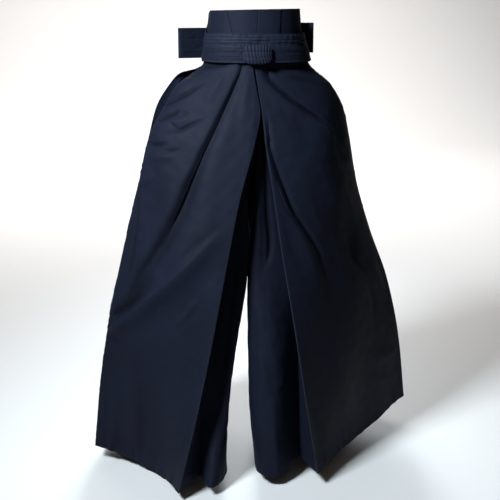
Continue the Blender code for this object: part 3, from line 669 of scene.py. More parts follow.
@dataclass(frozen=True)
class Pleat:
    """A pleat that lies shut near the waist and opens out lower down.

    Attributes:
        rows: Where its edge lies, how far it is shut, how high it steps, and the depth and half
            width of the valley it lies in, by height.
        lap: How far the upper layer lies over the lower one where it is shut.
        outward: Whether its edge points to the side instead of the middle.
        columns: Grid columns across it.
    """

    rows: Table
    lap: float = 0.018
    outward: bool = False
    columns: int = 30

    def profile(self, z: Array, place: Array, room: Array) -> tuple[Array, Array]:
        """Work out the pleat's cross-section at every height.

        Args:
            z: Heights.
            place: Distance of the pleat's edge along each row's curve.
            room: Free length on the pleat's narrower side in each row.

        Returns:
            Distances along the curve and layers, both (rows, columns). A shut pleat goes forward
            to its edge, back below by the lap and forward again, and an open one is a soft step.
        """
        shut = self.rows.at("closed", z)[:, None]
        t = np.linspace(0, 1, self.columns)[None, :]
        fold = 0.0013
        reach = np.minimum(0.012, 0.7 * room)[:, None]
        first, second = (smoothstep(a, b, t) for a, b in ((0.32, 0.44), (0.56, 0.68)))
        ahead = -reach + (reach - fold) * np.clip(t / 0.32, 0, 1)
        under = -fold - (self.lap - 2 * fold) * np.clip((t - 0.44) / 0.12, 0, 1)
        leave = -self.lap + fold + (reach + fold) * np.clip((t - 0.68) / 0.32, 0, 1)
        bulge = fold * (np.sin(np.pi * first) - np.sin(np.pi * second))
        closed_along = np.where(t < 0.38, ahead, np.where(t < 0.62, under, leave)) + bulge
        closed_layer = 1.0 - first - second
        wide = np.minimum(0.030, 0.85 * room)[:, None]
        open_along = wide * (2 * t - 1)
        open_layer = np.cos(np.pi * smoothstep(0.1, 0.9, t))
        along = shut * closed_along + (1 - shut) * open_along
        layer = shut * closed_layer + (1 - shut) * open_layer
        if self.outward:
            along, layer = -along[:, ::-1], layer[:, ::-1]
        return place[:, None] + along, layer

    def valley(self, z: Array, off: Array) -> Array:
        """Sink the cloth round the edge by depth * exp(-1.4 (off/width)^2), steeper on its outer side."""
        width = self.rows.at("width", z)[:, None] * np.where(off < 0, 0.75, 1.4)
        return -self.rows.at("valley", z)[:, None] * np.exp(-1.4 * (off / width) ** 2)


@dataclass
class LegPanel:
    """One quarter of the legs: from the side seam over the pleats to the centre or inner seam.

    Attributes:
        name: The piece's name, which is its CAD node's name too.
        side: Whose leg it is.
        facing: Front or back.
        shape: Its sections, a row for each level.
        hem: How far the hem lies above its nominal height, in millimetres, at the side, halfway to
            the pleat edge, at the edge, the recess, the crest, the inner fold and the seam.
        pleats: Pleats from the side inwards.
        folds: Folds on the outer part.
        inner_folds: Folds on the inner part.
        flats: Columns across each flat stretch, from the side inwards.
        rows: Grid rows.
        under_columns: Columns across the fold back to the recess.
        tail_columns: Columns across each stretch of the inner part.
        edge_wear_and_highlight: How worn the pleat edge is and how strong its painted highlight.
        slit_turn: How far the side opening's edge turns in, behind.
        seed: Chooses its soft unevenness.
        marks: Column numbers of the outer part's end, the recess and the inner part.
        valleys: How deep in a pleat's valley each point of the outer part is, from 0 to 0.55, which sets the
            painted shade there.
    """

    name: str
    side: Side
    facing: Facing
    shape: Table
    hem: tuple[float, ...]
    pleats: tuple[Pleat, ...] = ()
    folds: tuple[Fold, ...] = ()
    inner_folds: tuple[Fold, ...] = ()
    flats: tuple[int, ...] = (70,)
    rows: int = 210
    under_columns: int = 18
    tail_columns: int = 18
    edge_wear_and_highlight: float = 1.0
    slit_turn: float = 0.016
    seed: int = 1
    marks: dict[str, int] = field(default_factory=dict)
    valleys: Array = field(default_factory=lambda: np.zeros(0))

    def outer_curves(self, z: Array) -> tuple[Array, Array, Array]:
        """Work out the outer part's curve in every row.

        Args:
            z: Heights of the rows.

        Returns:
            Points, distances along them and outward normals of a cubic Bezier curve from the side
            edge to the pleat edge, whose handles make it a quarter ellipse, a line or a hollow.
        """
        value = {name: self.shape.at(name, z)[:, None] for name in self.shape.names[1:]}
        side = np.concatenate([value["side_out"], value["side_y"]], axis=1)
        edge = np.concatenate([value["edge_out"], value["edge_y"]], axis=1)
        bend, way, reach = value["round"], edge - side, 0.55
        handle_a = side + bend * way * np.array([0, reach]) + (1 - bend) * way / 3
        handle_b = edge - bend * way * np.array([reach, 0]) - (1 - bend) * way / 3
        t = np.linspace(0, 1, 161)[None, :, None]
        curve = ((1 - t) ** 3 * side[:, None] + 3 * t * (1 - t) ** 2 * handle_a[:, None]
                 + 3 * t * t * (1 - t) * handle_b[:, None] + t ** 3 * edge[:, None])
        along = np.pad(np.cumsum(np.linalg.norm(np.diff(curve, axis=1), axis=2), axis=1), ((0, 0), (1, 0)))
        tangent = unit(np.gradient(curve, axis=1))
        normal = np.stack([tangent[..., 1], -tangent[..., 0]], axis=2) * self.facing.value
        return curve, along, normal

    def outer_part(self, z: Array) -> tuple[Array, Array, Array, Array]:
        """Work out the outer part with its pleats.

        Args:
            z: Heights of the rows.

        Returns:
            Points as (out, y), how worn each is with its painted highlight, and the last normal and tangent
            of each row.
        """
        curve, along, normal = self.outer_curves(z)
        length = along[:, -1]
        start = np.full_like(z, 0.0003)
        parts, lifts, wear_highlights = [], [], []
        spans: list[tuple[Array, Array, Array]] = []
        places: list[Array] = []
        for pleat, count in zip(self.pleats, self.flats):
            wanted = pleat.rows.at("out", z)
            place = row_interp(-wanted[:, None], -curve[:, :, 0], along)[:, 0]
            place = np.minimum(np.maximum(place, start + 0.015), length - 0.007)
            room = np.minimum(place - start, length - place)
            at, layer = pleat.profile(z, place, room)
            share = np.linspace(0, 1, count + 1)[None, 1 if parts else 0:-1]
            parts += [start[:, None] + share * (at[:, :1] - start[:, None]), at]
            rise = pleat.rows.at("rise", z)[:, None]
            shut = pleat.rows.at("closed", z)[:, None]
            # The pleat's folded edge lighter where it is shut: partly wear, partly a painted highlight.
            turned = 0.63 if pleat.outward else 0.37
            edge_wear_highlight = shut * np.exp(-((np.linspace(0, 1, pleat.columns)[None, :] - turned) / 0.04) ** 2)
            lifts += [np.zeros_like(parts[-2]), layer * rise / 2]
            wear_highlights += [np.zeros_like(parts[-2]), edge_wear_highlight * 0.25]
            spans.append((at[:, :1], at[:, -1:], rise / 2 * (-1 if pleat.outward else 1)))
            places.append(place[:, None])
            start = at[:, -1]
        share = np.linspace(0, 1, self.flats[-1] + 1)[None, 1 if parts else 0:]
        last = length - 0.0014
        parts.append(start[:, None] + share * (last - start)[:, None])
        lifts.append(np.zeros_like(parts[-1]))
        wear_highlights.append(np.zeros_like(parts[-1]))
        s, lift = np.concatenate(parts, axis=1), np.concatenate(lifts, axis=1)
        column = 0
        for (low, high, rise), count, pleat in zip(spans, self.flats, self.pleats):
            column += count - (1 if column else 0)
            index = np.arange(s.shape[1])[None, :]
            before = rise * smoothstep(0, 1, 1 - (low - s) / 0.045)
            after = -rise * smoothstep(0, 1, 1 - (s - high) / 0.042)
            lift += np.where(index < column, before, 0) + np.where(index >= column + pleat.columns, after, 0)
            column += pleat.columns
        valleys = [pleat.valley(z, s - place) for pleat, place in zip(self.pleats, places)]
        lift_valley = sum(valleys, np.zeros_like(s))
        lift += lift_valley
        points = np.stack([row_interp(s, along, curve[..., k]) for k in (0, 1)], axis=2)
        outward = unit(np.stack([row_interp(s, along, normal[..., k]) for k in (0, 1)], axis=2))
        points = points + outward * lift[..., None]
        wear_highlight = np.concatenate(wear_highlights, axis=1)
        self.marks["outer"] = s.shape[1]
        tangent = unit(curve[:, -1] - curve[:, -3])
        self.valleys = np.clip(-lift_valley / 0.010, 0, 0.55)
        return points, wear_highlight, outward[:, -1], tangent

    def grid(self) -> Sheet:
        """Work out the whole panel.

        Returns:
            The sheet: the outer part, a round turn at the pleat edge, the fold back to the recess
            and a spline over the inner part, all swept from the top edge to the hem.
        """
        z = np.interp(np.linspace(0, 1, self.rows), (0, 0.14, 0.54, 1), (TOP_Z, -0.03, -0.27, HEM_Z))
        outer, wear_highlight, out_way, on_way = self.outer_part(z)
        value = {name: self.shape.at(name, z) for name in self.shape.names[1:]}
        bend = 0.0013
        turn = np.linspace(0, np.pi, 9)[None, 1:, None]
        centre = outer[:, -1] - out_way * bend
        nose = centre[:, None] + bend * (np.cos(turn) * out_way[:, None]
                                         + 1.25 * np.sin(turn) * on_way[:, None])
        recess = np.stack([value["recess_out"], value["recess_y"]], axis=1)
        crest = np.stack([value["crest_out"], value["crest_y"]], axis=1)
        inner = np.stack([value["inner_out"], value["inner_y"]], axis=1)
        lean = self.side.value * CENTRE_LINE.at("x", z)
        gap = value["seam_gap"] * (1 - 0.8 * smoothstep(-0.02, 0.02, z))
        seam = np.stack([lean + gap, value["seam_y"]], axis=1)
        seam[:, 1] += np.where(z < CROTCH_Z, 0.0003 * self.facing.value, 0)
        back_way, over_way = unit(nose[:, -1] - recess), unit(crest - recess)
        shut = ((1 + (back_way * over_way).sum(axis=1)) / 2)[:, None]
        inward = np.array([0.0, -self.facing.value * 0.0024]) * shut
        reach = 0.0015 + 0.004 * (1 - shut)
        arrive, leave = recess + back_way * reach, recess + over_way * reach + inward
        middle = 2 * (recess + inward * 0.5) - (arrive + leave) / 2
        t = np.linspace(0, 1, 9)[None, :, None]
        share = np.linspace(0, 1, self.under_columns + 1)[None, 1:-1, None]
        under = nose[:, -1:] + share * (arrive - nose[:, -1])[:, None]
        bottom = ((1 - t) ** 2 * arrive[:, None] + 2 * t * (1 - t) * middle[:, None]
                  + t * t * leave[:, None])
        tail = spline(np.stack([leave, crest, inner, seam], axis=1), self.tail_columns)[:, 1:]
        plan = np.concatenate([outer, nose, under, bottom, tail], axis=1)
        wear_and_highlight = np.zeros(plan.shape[:2])
        wear_and_highlight[:, :wear_highlight.shape[1]] = wear_highlight
        # The turned edge lighter lower down: partly wear, partly a painted highlight.
        edge_column = self.marks["outer"] + 3
        nearness = np.exp(-((np.arange(plan.shape[1]) - edge_column) / 2.5) ** 2)
        wear_and_highlight += nearness[None, :] * self.edge_wear_and_highlight * smoothstep(0.12, 0.5, -z)[:, None]
        self.marks["recess"] = edge_column + 5 + self.under_columns + 4
        self.marks["tail"] = plan.shape[1] - 3 * self.tail_columns
        x = plan[..., 0] * self.side.value
        height = z[:, None] + self.hem_shift(plan)[None, :] * smoothstep(-CROTCH_Z, -HEM_Z, -z)[:, None]
        height = height + TOP_SLOPE * x * smoothstep(0.036, TOP_Z, height)
        sheet = Sheet.measured(np.stack([x, plan[..., 1], height], axis=2))
        sheet.wear_and_highlight = np.clip(wear_and_highlight, 0, 1)
        sheet.crease_shade = np.zeros_like(wear_and_highlight)
        # Painted shade in the pleat valleys.
        sheet.crease_shade[:, :wear_highlight.shape[1]] = self.valleys ** 1.5
        sheet.sewn = np.minimum(np.abs(sheet.up - 0.022), np.abs(sheet.along - 0.006))
        return sheet

    def hem_shift(self, plan: Array) -> Array:
        """Give each column's rise of the hem, in metres, from the seven named places."""
        last = plan[-1]
        steps = np.concatenate([[0], np.cumsum(np.linalg.norm(np.diff(last, axis=0), axis=1))])
        edge = self.marks["outer"] + 3
        tail = self.marks["tail"] - 1
        at = [0, None, edge, self.marks["recess"]] + [tail + k * self.tail_columns for k in (1, 2, 3)]
        keys = [steps[edge] / 2 if k is None else steps[k] for k in at]
        return through(np.array(keys), np.array(self.hem) * MILLIMETRE, steps)

    def relief(self, sheet: Sheet) -> Array:
        """Add up the panel's folds and its soft unevenness, fading out at the seams."""
        x, z = sheet.points[..., 0], sheet.points[..., 2]
        column = np.arange(x.shape[1])
        outer = (column < self.marks["outer"])[None, :] * smoothstep(0.0, 0.02, sheet.along)
        inside = smoothstep(self.marks["outer"] - 6.0, self.marks["outer"] * 1.0, column * 1.0)
        outer = outer * (1 - inside)[None, :]
        tail = smoothstep(self.marks["tail"] * 1.0, self.marks["tail"] + 8.0, column * 1.0)[None, :]
        tail = tail * (1 - smoothstep(x.shape[1] - 8.0, x.shape[1] - 1.0, column * 1.0))[None, :]
        reliefs = [outer * fold.relief(x, z) for fold in self.folds]
        reliefs += [tail * fold.relief(x, z) for fold in self.inner_folds]
        lift = sum(reliefs, np.zeros_like(x))
        # Painted shade: the troughs of the folds darken the colour, more where they are deeper and narrower.
        sharp = sum((np.minimum(part, 0) / min(row[3] for row in fold.line)
                     for part, fold in zip(reliefs, self.folds + self.inner_folds)), np.zeros_like(x))
        sheet.crease_shade = np.clip(sheet.crease_shade - sharp * 900.0, 0, 0.8)
        low = smoothstep(0.03, 0.15, -z)
        soft = ripple(x, z * 0.3, 0.080, self.seed) * 0.0015
        soft = soft + ripple(x, z * 0.7, 0.028, self.seed + 1) * 0.0004
        hem = ripple(sheet.along, sheet.up * 0.15, 0.022, self.seed + 2) * np.exp(-(sheet.up / 0.03) ** 2)
        hem = hem * smoothstep(0.0, 0.025, sheet.along)
        beside = np.exp(-(sheet.along / 0.022) ** 2) * smoothstep(0.0, 0.007, sheet.along)
        side = ripple(sheet.along * 0.2, sheet.up, 0.016, self.seed + 3) * beside
        if self.facing is Facing.BACK:
            slit = smoothstep(-0.205, -0.165, z) * (1 - smoothstep(-0.075, -0.05, z))
            turned = np.minimum(sheet.along / 0.013, 1) * (1 - smoothstep(0.016, 0.070, sheet.along))
            lift -= self.slit_turn * slit * turned
        free = (outer > 0) | (tail > 0)
        return lift + (outer + tail) * soft * low + free * (hem * 0.0012 + side * 0.0010 * low)

    def build(self) -> tuple[bpy.types.Object, Array]:
        """Build the panel.

        Returns:
            The object and its inner edge, the last column of its grid.
        """
        sheet = self.grid()
        outward = -self.facing.value * self.side.value
        seam = sheet.points[:, -1].copy()
        sheet.lifted(self.relief(sheet), surface_normals(sheet.points) * outward)
        return sheet.wall(self.name, PANEL_THICK, outward), seam


FOLDS_FRONT_RIGHT = (
    Fold(((-198, -119, -1.5, 5), (-168, -98, -4.5, 5), (-149, -88, -4.5, 5), (-130, -74, -3, 6),
          (-107, -64, 0, 6))),
    Fold(((-192, -98, 1.3, 8), (-160, -74, 3.4, 9), (-130, -52, 1.3, 8))),
    Fold(((-160, -66, 0, 6), (-132, -50, -2.4, 6), (-104, -40, 0, 6))),
    Fold(((-208, -148, -2, 4), (-192, -138, -4, 4.5), (-176, -130, -3.6, 4), (-170, -119, 0, 4))),
    Fold(((-188, -147, -1, 4), (-179, -157, -3, 4), (-171, -162, 0, 4))),
    Fold(((-204, -172, -1, 4), (-168, -163, -3.4, 4.5), (-151, -155, -3.2, 4.5), (-133, -146, -2.6, 4),
          (-108, -136, 0, 4))),
    Fold(((-173, -127, 0, 4), (-158, -129, -2, 4), (-144, -129, 0, 4))),
    Fold(((-205, -158, 0, 6), (-176, -147, 2.4, 7), (-140, -134, 0, 7))),
    Fold(((-238, -195, -3, 6), (-215, -197, -4.2, 6), (-190, -192, 0, 6))),
    Fold(((-218, -208, 0, 5), (-190, -209, -2.6, 6), (-163, -200, 0, 5))),
    Fold(((-238, -222, 2.6, 10.2), (-212, -222, 3.9, 11.9), (-180, -214, 0, 10.2))),
    Fold(((-250, -277, 3.5, 10), (-242, -275, 5.0, 10), (-222, -256, 0.0, 9))),
    Fold(((-258, -290, -1.2, 4), (-265, -377, -1.8, 4), (-277, -451, -1.8, 4), (-287, -492, 0.0, 4))),
    Fold(((-100, -325, 0.0, 26), (-135, -376, 5.0, 32), (-175, -430, 6.5, 34), (-215, -480, 4.0, 30))),
    Fold(((-80, -362, 0.0, 22), (-122, -406, 7.0, 28), (-175, -463, 13.0, 32), (-235, -520, 16.0, 30),
          (-289, -575, 15.0, 24), (-330, -608, 11.0, 17)), Cut.STEEP_RIGHT),
    Fold(((-225, -470, 0.0, 16), (-258, -515, -5.0, 15), (-289, -549, -8.0, 12), (-328, -582, -8.0, 10))),
    Fold(((-250, -500, 0.0, 7), (-268, -524, 4.5, 8), (-300, -556, 3.0, 7))),
    Fold(((-129, -505, 0.0, 4), (-150, -531, 2.4, 5), (-170, -558, 2.4, 5), (-195, -590, 0.0, 4))),
    Fold(((-330, -632, -2.5, 4), (-313, -637, -2.6, 5), (-295, -631, 0.0, 4))),
    Fold(((-332, -660, 2.0, 6), (-318, -668, 2.0, 6), (-300, -672, 0.0, 5))),
    Fold(((-156, -590, 0.0, 14), (-172, -673, 2.6, 16), (-185, -760, 2.2, 16), (-190, -850, 0.0, 14))),
    Fold(((-262, -700, 0.0, 12), (-265, -753, -2.4, 13), (-262, -825, -2.8, 13), (-266, -895, -2.0, 12))),
    Fold(((-318, -700, 0.0, 12), (-322, -780, 2.4, 14), (-330, -860, 2.6, 14), (-334, -905, 2.0, 12))),
    Fold(((-110, -34, -2.5, 5), (-76, -29, -3.5, 5), (-50, -28, 0.0, 4))),
    Fold(((-70, -40, 0.0, 6), (-84, -62, 1.8, 8), (-92, -90, 0.0, 8))),
    Fold(((-19, -38, 0.0, 8), (-29, -89, 1.8, 10), (-37, -140, 1.2, 12), (-40, -200, 0.0, 12))),
    Fold(((-90, -60, 0.0, 9), (-105, -95, 2.4, 12), (-118, -130, 0.0, 12))),
)
FOLDS_FRONT_LEFT = (
    Fold(((8, -25, -2.0, 4), (30, -37, -4.0, 5), (50, -49, 0.0, 5))),
    Fold(((34, -36, 0.0, 4), (63, -36, -3.6, 5), (92, -33, -2.5, 5))),
    Fold(((60, -56, 0.0, 6), (90, -60, -2.6, 7), (124, -70, -2.0, 7), (150, -84, 0.0, 7))),
    Fold(((104, -140, 0.0, 34), (122, -190, 7.0, 46), (130, -246, 10.0, 50), (159, -298, 10.0, 48),
          (191, -345, 8.5, 42), (218, -395, 6.0, 34), (228, -440, 2.5, 26), (240, -480, 0.0, 20))),
    Fold(((128, -148, 0.0, 9), (166, -180, 4.0, 11), (205, -220, 3.5, 11), (222, -262, 0.0, 10))),
    Fold(((160, -322, 0.0, 20), (199, -376, -7.0, 26), (216, -420, -8.5, 24), (222, -452, -4.0, 16),
          (230, -480, 0.0, 12))),
    Fold(((212, -428, 0.0, 5), (224, -453, -3.8, 6), (242, -482, -4.0, 6), (266, -512, 0.0, 5))),
    Fold(((249, -506, 0.0, 8), (274, -551, -3.0, 9), (284, -598, -2.4, 9), (290, -650, 0.0, 9))),
    Fold(((286, -779, 0.0, 5), (316, -789, 2.6, 6), (345, -797, 0.0, 5))),
    Fold(((261, -696, 0.0, 14), (320, -730, 3.2, 18), (366, -737, 0.0, 14))),
    Fold(((258, -470, 0.0, 12), (285, -510, 3.4, 12), (303, -545, 3.0, 10), (314, -570, 0.0, 8))),
    Fold(((175, -150, 0.0, 8), (182, -200, -2.4, 10), (196, -250, 0.0, 9))),
    Fold(((150, -600, 0.0, 20), (172, -700, 3.0, 26), (196, -800, 3.5, 28), (214, -905, 3.5, 28))),
    Fold(((60, -250, 0.0, 16), (75, -330, 2.0, 20), (95, -420, 0.0, 20))),
)
INNER_FOLDS_FRONT_LEFT = (
    Fold(((-5, -200, 0.0, 7), (-4, -250, 3.0, 8), (-3, -313, 4.0, 8), (-2, -400, 3.0, 8),
          (-3, -480, 0.0, 8))),
    Fold(((12, -196, -1.0, 5), (14, -270, -4.0, 6), (17, -346, -6.0, 6.5), (22, -396, -6.0, 6.5),
          (20, -435, -4.0, 6), (8, -456, 0.0, 5))),
    Fold(((-16, -615, 0.0, 9), (0, -667, 2.6, 11), (16, -715, 3.0, 11), (58, -708, 0.0, 9))),
    Fold(((20, -735, 0.0, 8), (24, -810, 3.0, 9), (29, -900, 3.0, 9))),
    Fold(((-12, -500, 0.0, 9), (-14, -600, -2.0, 10), (-8, -700, 0.0, 10))),
)
INNER_FOLDS_FRONT_RIGHT = (
    Fold(((-44, -440, 0.0, 8), (-55, -540, 2.6, 9), (-70, -650, 3.0, 10), (-90, -780, 2.5, 10),
          (-104, -900, 2.0, 9))),
    Fold(((-36, -500, 0.0, 6), (-48, -640, -2.2, 7), (-66, -780, -2.0, 8), (-80, -900, -1.5, 8))),
)


def back_folds(side: Side) -> tuple[Fold, ...]:
    """Give the folds behind: flutes that fall from the waist and drag lines from hip and seat."""
    m = side.value
    k = 1.0 if side is Side.RIGHT else 1.12
    return (
        Fold(((m * 52, -70, 0, 14), (m * 74 * k, -260, 4, 20), (m * 104, -520, 6, 26),
              (m * 135 * k, -900, 7, 30))),
        Fold(((m * 92, -90, 0, 14), (m * 130, -300, -4, 22), (m * 176 * k, -600, -6, 28),
              (m * 205, -905, -7, 30))),
        Fold(((m * 140 * k, -130, 0, 14), (m * 190, -340, 3.5, 22), (m * 244, -640, 6, 28),
              (m * 268 * k, -905, 7, 30))),
        Fold(((m * 190, -330, 0, 14), (m * 252 * k, -560, -4, 20), (m * 300, -800, -5, 24),
              (m * 312, -905, -5, 24))),
        Fold(((m * 196, -112, -1.5, 8), (m * 160, -92, -3, 9), (m * 118 * k, -66, 0, 8))),
        Fold(((m * 206, -160, -1, 7), (m * 170, -150, -2.2, 8), (m * 128, -142 * k, 0, 7))),
        Fold(((m * 30, -190, 0, 12), (m * 80, -238 * k, 3.5, 16), (m * 150, -272, 4.5, 18),
              (m * 222, -284, 0, 14))),
        Fold(((m * 34, -225, 0, 9), (m * 84, -274 * k, -3, 12), (m * 150, -312, -3.5, 13),
              (m * 210, -330, 0, 10))),
        Fold(((m * 40, -300, 0, 10), (m * 90, -372, 3, 15), (m * 140 * k, -420, 0, 14))),
    )


@dataclass
class Gusset:
    """The saddle of cloth between the legs, with an arm down the inside of each.

    Attributes:
        seams: Inner edges of the four panels by name.
        end_z: Height where its arms end.
    """

    seams: dict[str, Array]
    end_z: float = -0.490

    def build(self) -> bpy.types.Object:
        """Build it: straight across between the front and back panels' inner edges at each height."""
        top = CROTCH_Z - 0.004
        level = np.linspace(top - 0.004, self.end_z, 40)
        front, back = (self.ends(facing, level, top) for facing in ("front", "back"))
        share = np.linspace(0, 1, 17)[None, :, None]
        clear = np.array([0.0, 0.0004, 0.0])
        points = (front + clear)[:, None] * (1 - share) + (back - clear)[:, None] * share
        sheet = Sheet.measured(points)
        sheet.sewn = np.minimum(sheet.along, sheet.along[:, -1:] - sheet.along) - 0.004
        sag = 0.0035 * np.sin(np.pi * share[..., 0]) * ripple(points[..., 1], points[..., 2], 0.05, 9)
        return sheet.lifted(sag, surface_normals(points)).wall("gusset", PANEL_THICK)

    def ends(self, facing: str, level: Array, top: float) -> Array:
        """Follow one facing's two inner edges: up the right leg, over the middle and down the left."""
        sides = []
        for side in ("right", "left"):
            seam = self.seams[f"{facing}_panel_{side}"][::-1]
            sides.append(np.stack([np.interp(level, seam[:, 2], seam[:, k]) for k in (0, 1, 2)], axis=1))
        middle = (sides[0][:1] + sides[1][:1]) / 2
        middle[0, 2] = top
        return np.concatenate([sides[0][::-1], middle, sides[1]])


# The ties


WAIST = Table(("z", "right", "left", "front", "back"),
              ((85, 96.5, 97.5, 79.5, 78), (36, 101, 102, 83.5, 82), (-26, 111, 117, 88.5, 88)))
FRONT_SQUARENESS, BACK_SQUARENESS = 2.15, 2.7
TIE_THICK = 0.0013


def waist_point(angle: Array, z: Array, offset: Array) -> Array:
    """Find points offset outward from the waist.

    Args:
        angle: Degrees round the waist: 0 at the wearer's left side, 90 behind.
        z: Heights.
        offset: Distances out from the waist.

    Returns:
        Points of a superellipse whose half sizes come from the waist's table.
    """
    c, s = np.cos(np.radians(angle)), np.sin(np.radians(angle))
    wide = np.where(c > 0, WAIST.at("left", z), WAIST.at("right", z)) + offset
    deep = np.where(s > 0, WAIST.at("back", z), WAIST.at("front", z)) + offset
    power = 2 / np.where(s > 0, BACK_SQUARENESS, FRONT_SQUARENESS)
    x, y = wide * np.sign(c) * np.abs(c) ** power, deep * np.sign(s) * np.abs(s) ** power
    return np.stack([x, y, z], axis=-1)


def waist_depth(x: Array, z: Array, offset: Array, facing: Facing) -> Array:
    """Find how far forward or back the waist line lies at x, offset outward."""
    name, squareness = ("front", FRONT_SQUARENESS) if facing is Facing.FRONT else ("back", BACK_SQUARENESS)
    deep, wide = WAIST.at(name, z) + offset, WAIST.at("right", z) + offset
    return facing.value * deep * (1 - np.abs(x / wide) ** squareness) ** (1 / squareness)


@dataclass(frozen=True)
class Turn:
    """The edge of one layer of a wound tie.

    Attributes:
        z: Its height in millimetres.
        step: How proud the layer above it lies, in millimetres.
        drift: How far it wanders up and down, in millimetres.
        phase: Where round the waist it wanders, in degrees.
        fade: How far above the edge the layer settles back, in millimetres.
    """

    z: float
    step: float
    drift: float
    phase: float
    fade: float = 7.0

    def relief(self, angle: Array, z: Array) -> Array:
        """Step up sharply at the edge and fade away above it, as exp(-height/fade)."""
        edge = (self.z + self.drift * np.sin(np.radians(angle * 2 + self.phase))) * MILLIMETRE
        above = z - edge
        return self.step * MILLIMETRE * smoothstep(-0.0007, 0.0005, above) * np.exp(
            -np.maximum(above, 0) / (self.fade * MILLIMETRE))


@dataclass(frozen=True)
class Wrap:
    """The front tie wound round the waist in turns that lie over each other.

    Attributes:
        height: Height of the whole winding.
        middle: Height of its middle.
        turns: Edges of its layers.
    """

    height: float = 0.060
    middle: float = 0.006
    turns: tuple[Turn, ...] = (
        Turn(29.0, 0.9, 0.8, 20), Turn(23.6, 1.0, 0.7, 150), Turn(17.0, 1.1, 0.9, 260),
        Turn(7.0, 0.8, 0.6, 60), Turn(-1.5, 0.8, 0.8, 200), Turn(-12.0, 0.9, 0.9, 310),
        Turn(-19.8, 1.1, 0.5, 100, 5.0))

    def build(self) -> bpy.types.Object:
        """Build the closed band: the waist line with its layers' edges and small slack puckers."""
        angle = np.arange(420)[None, :] * 360 / 420
        z = self.middle + np.linspace(0.5, -0.5, 66)[:, None] * self.height
        angle, z = np.broadcast_arrays(angle, z)
        behind = smoothstep(-0.35, 0.25, np.sin(np.radians(angle)))
        points = waist_point(angle, z, 0.0052 + (0.0034 - 0.0052) * behind)
        normals = surface_normals(points, True)
        turn = int(np.sign((normals[0, 0] * points[0, 0]).sum()))
        sheet = Sheet.measured(points, True)
        relief = sum(turn.relief(angle, z) for turn in self.turns) * 1.25
        slack = ripple(np.radians(angle) * 0.02, z, 0.006, 21) * 0.00028
        pucker = ripple(np.radians(angle) * 0.1, z * 0.4, 0.012, 22) * 0.00035
        knot = np.exp(-np.abs((points[..., 0] + 0.004) / 0.036) ** 6) * (points[..., 1] < 0)
        gather = 0.0009 * knot * (1 - smoothstep(0.010, 0.018, z))
        gather = gather * np.sin(2 * np.pi * (points[..., 0] / 0.0068 + 3.0 * z))
        hollow = np.exp(-((z - 0.0196) / 0.0016) ** 2) * np.exp(-((points[..., 0] - 0.004) / 0.024) ** 4)
        front = points[..., 1] < 0
        sheet.sewn = np.minimum(np.abs(sheet.up - 0.003), np.abs(self.height - sheet.up - 0.003))
        # Layer edges lighter: partly wear, partly a painted highlight.
        sheet.wear_and_highlight = np.clip(sum(turn.relief(angle, z) for turn in self.turns) / 0.0011, 0, 1) * 0.35
        sheet.lifted(relief + slack + pucker + gather - 0.0016 * hollow * front, normals * turn)
        return sheet.wall("front_tie_wrap", TIE_THICK, turn)


TIE_COLUMNS = ("travel", "angle", "mid_z", "width", "offset")


@dataclass(frozen=True)
class TieStrip:
    """A stretch of flat tie that runs round the waist.

    Attributes:
        name: The piece's name and its CAD node's.
        path: Rows of degrees travelled, angle, middle height, width and offset from the waist.
        mirrored: Whether it is the wearer's right one.
        creases: Heights of creases across the tie, as shares of its width from the lower edge,
            with their depths in millimetres.
        columns: Grid columns along it.
        seed: Chooses its puckers.
    """

    name: str
    path: tuple[tuple[float, ...], ...]
    mirrored: bool = False
    creases: tuple[tuple[float, float], ...] = ((0.25, 0.5), (0.72, 0.4))
    columns: int = 150
    seed: int = 3

    def build(self) -> bpy.types.Object:
        """Build it: flat across, with creases along it, and curved to the waist."""
        table = Table(TIE_COLUMNS, self.path, ("travel", "angle"))
        travel = np.linspace(0, self.path[-1][0], self.columns)[None, :]
        across = np.linspace(1, 0, 26)[:, None]
        angle = np.interp(travel, table.column("travel"), table.column("angle"))
        angle = np.broadcast_to(angle, (26, self.columns))
        mid_z, width, offset = (table.at(name, travel[0])[None, :] for name in TIE_COLUMNS[2:])
        z = mid_z + (across - 0.5) * width
        points = waist_point(180 - angle if self.mirrored else angle, z, np.broadcast_to(offset, z.shape))
        normals = surface_normals(points)
        centre = points.shape[1] // 2
        out = np.sign((normals[13, centre] * points[13, centre] * np.array([1, 1, 0])).sum())
        sheet = Sheet.measured(points)
        wander = 0.03 * np.sin(travel * 0.06 + self.seed)
        relief = sum(depth * MILLIMETRE * np.exp(-((across - place - wander) / 0.045) ** 2)
                     * np.sign(np.cos(17.0 * place)) for place, depth in self.creases)
        relief = relief + ripple(sheet.along, sheet.up, 0.012, self.seed) * 0.00022
        sheet.sewn = np.minimum(sheet.up, width - sheet.up) - 0.0025
        # Long edges lighter: partly wear, partly a painted highlight.
        sheet.wear_and_highlight = 0.5 * np.exp(-(np.minimum(sheet.up, width - sheet.up) / 0.0015) ** 2)
        return sheet.lifted(relief, normals * out).wall(self.name, TIE_THICK, int(out))


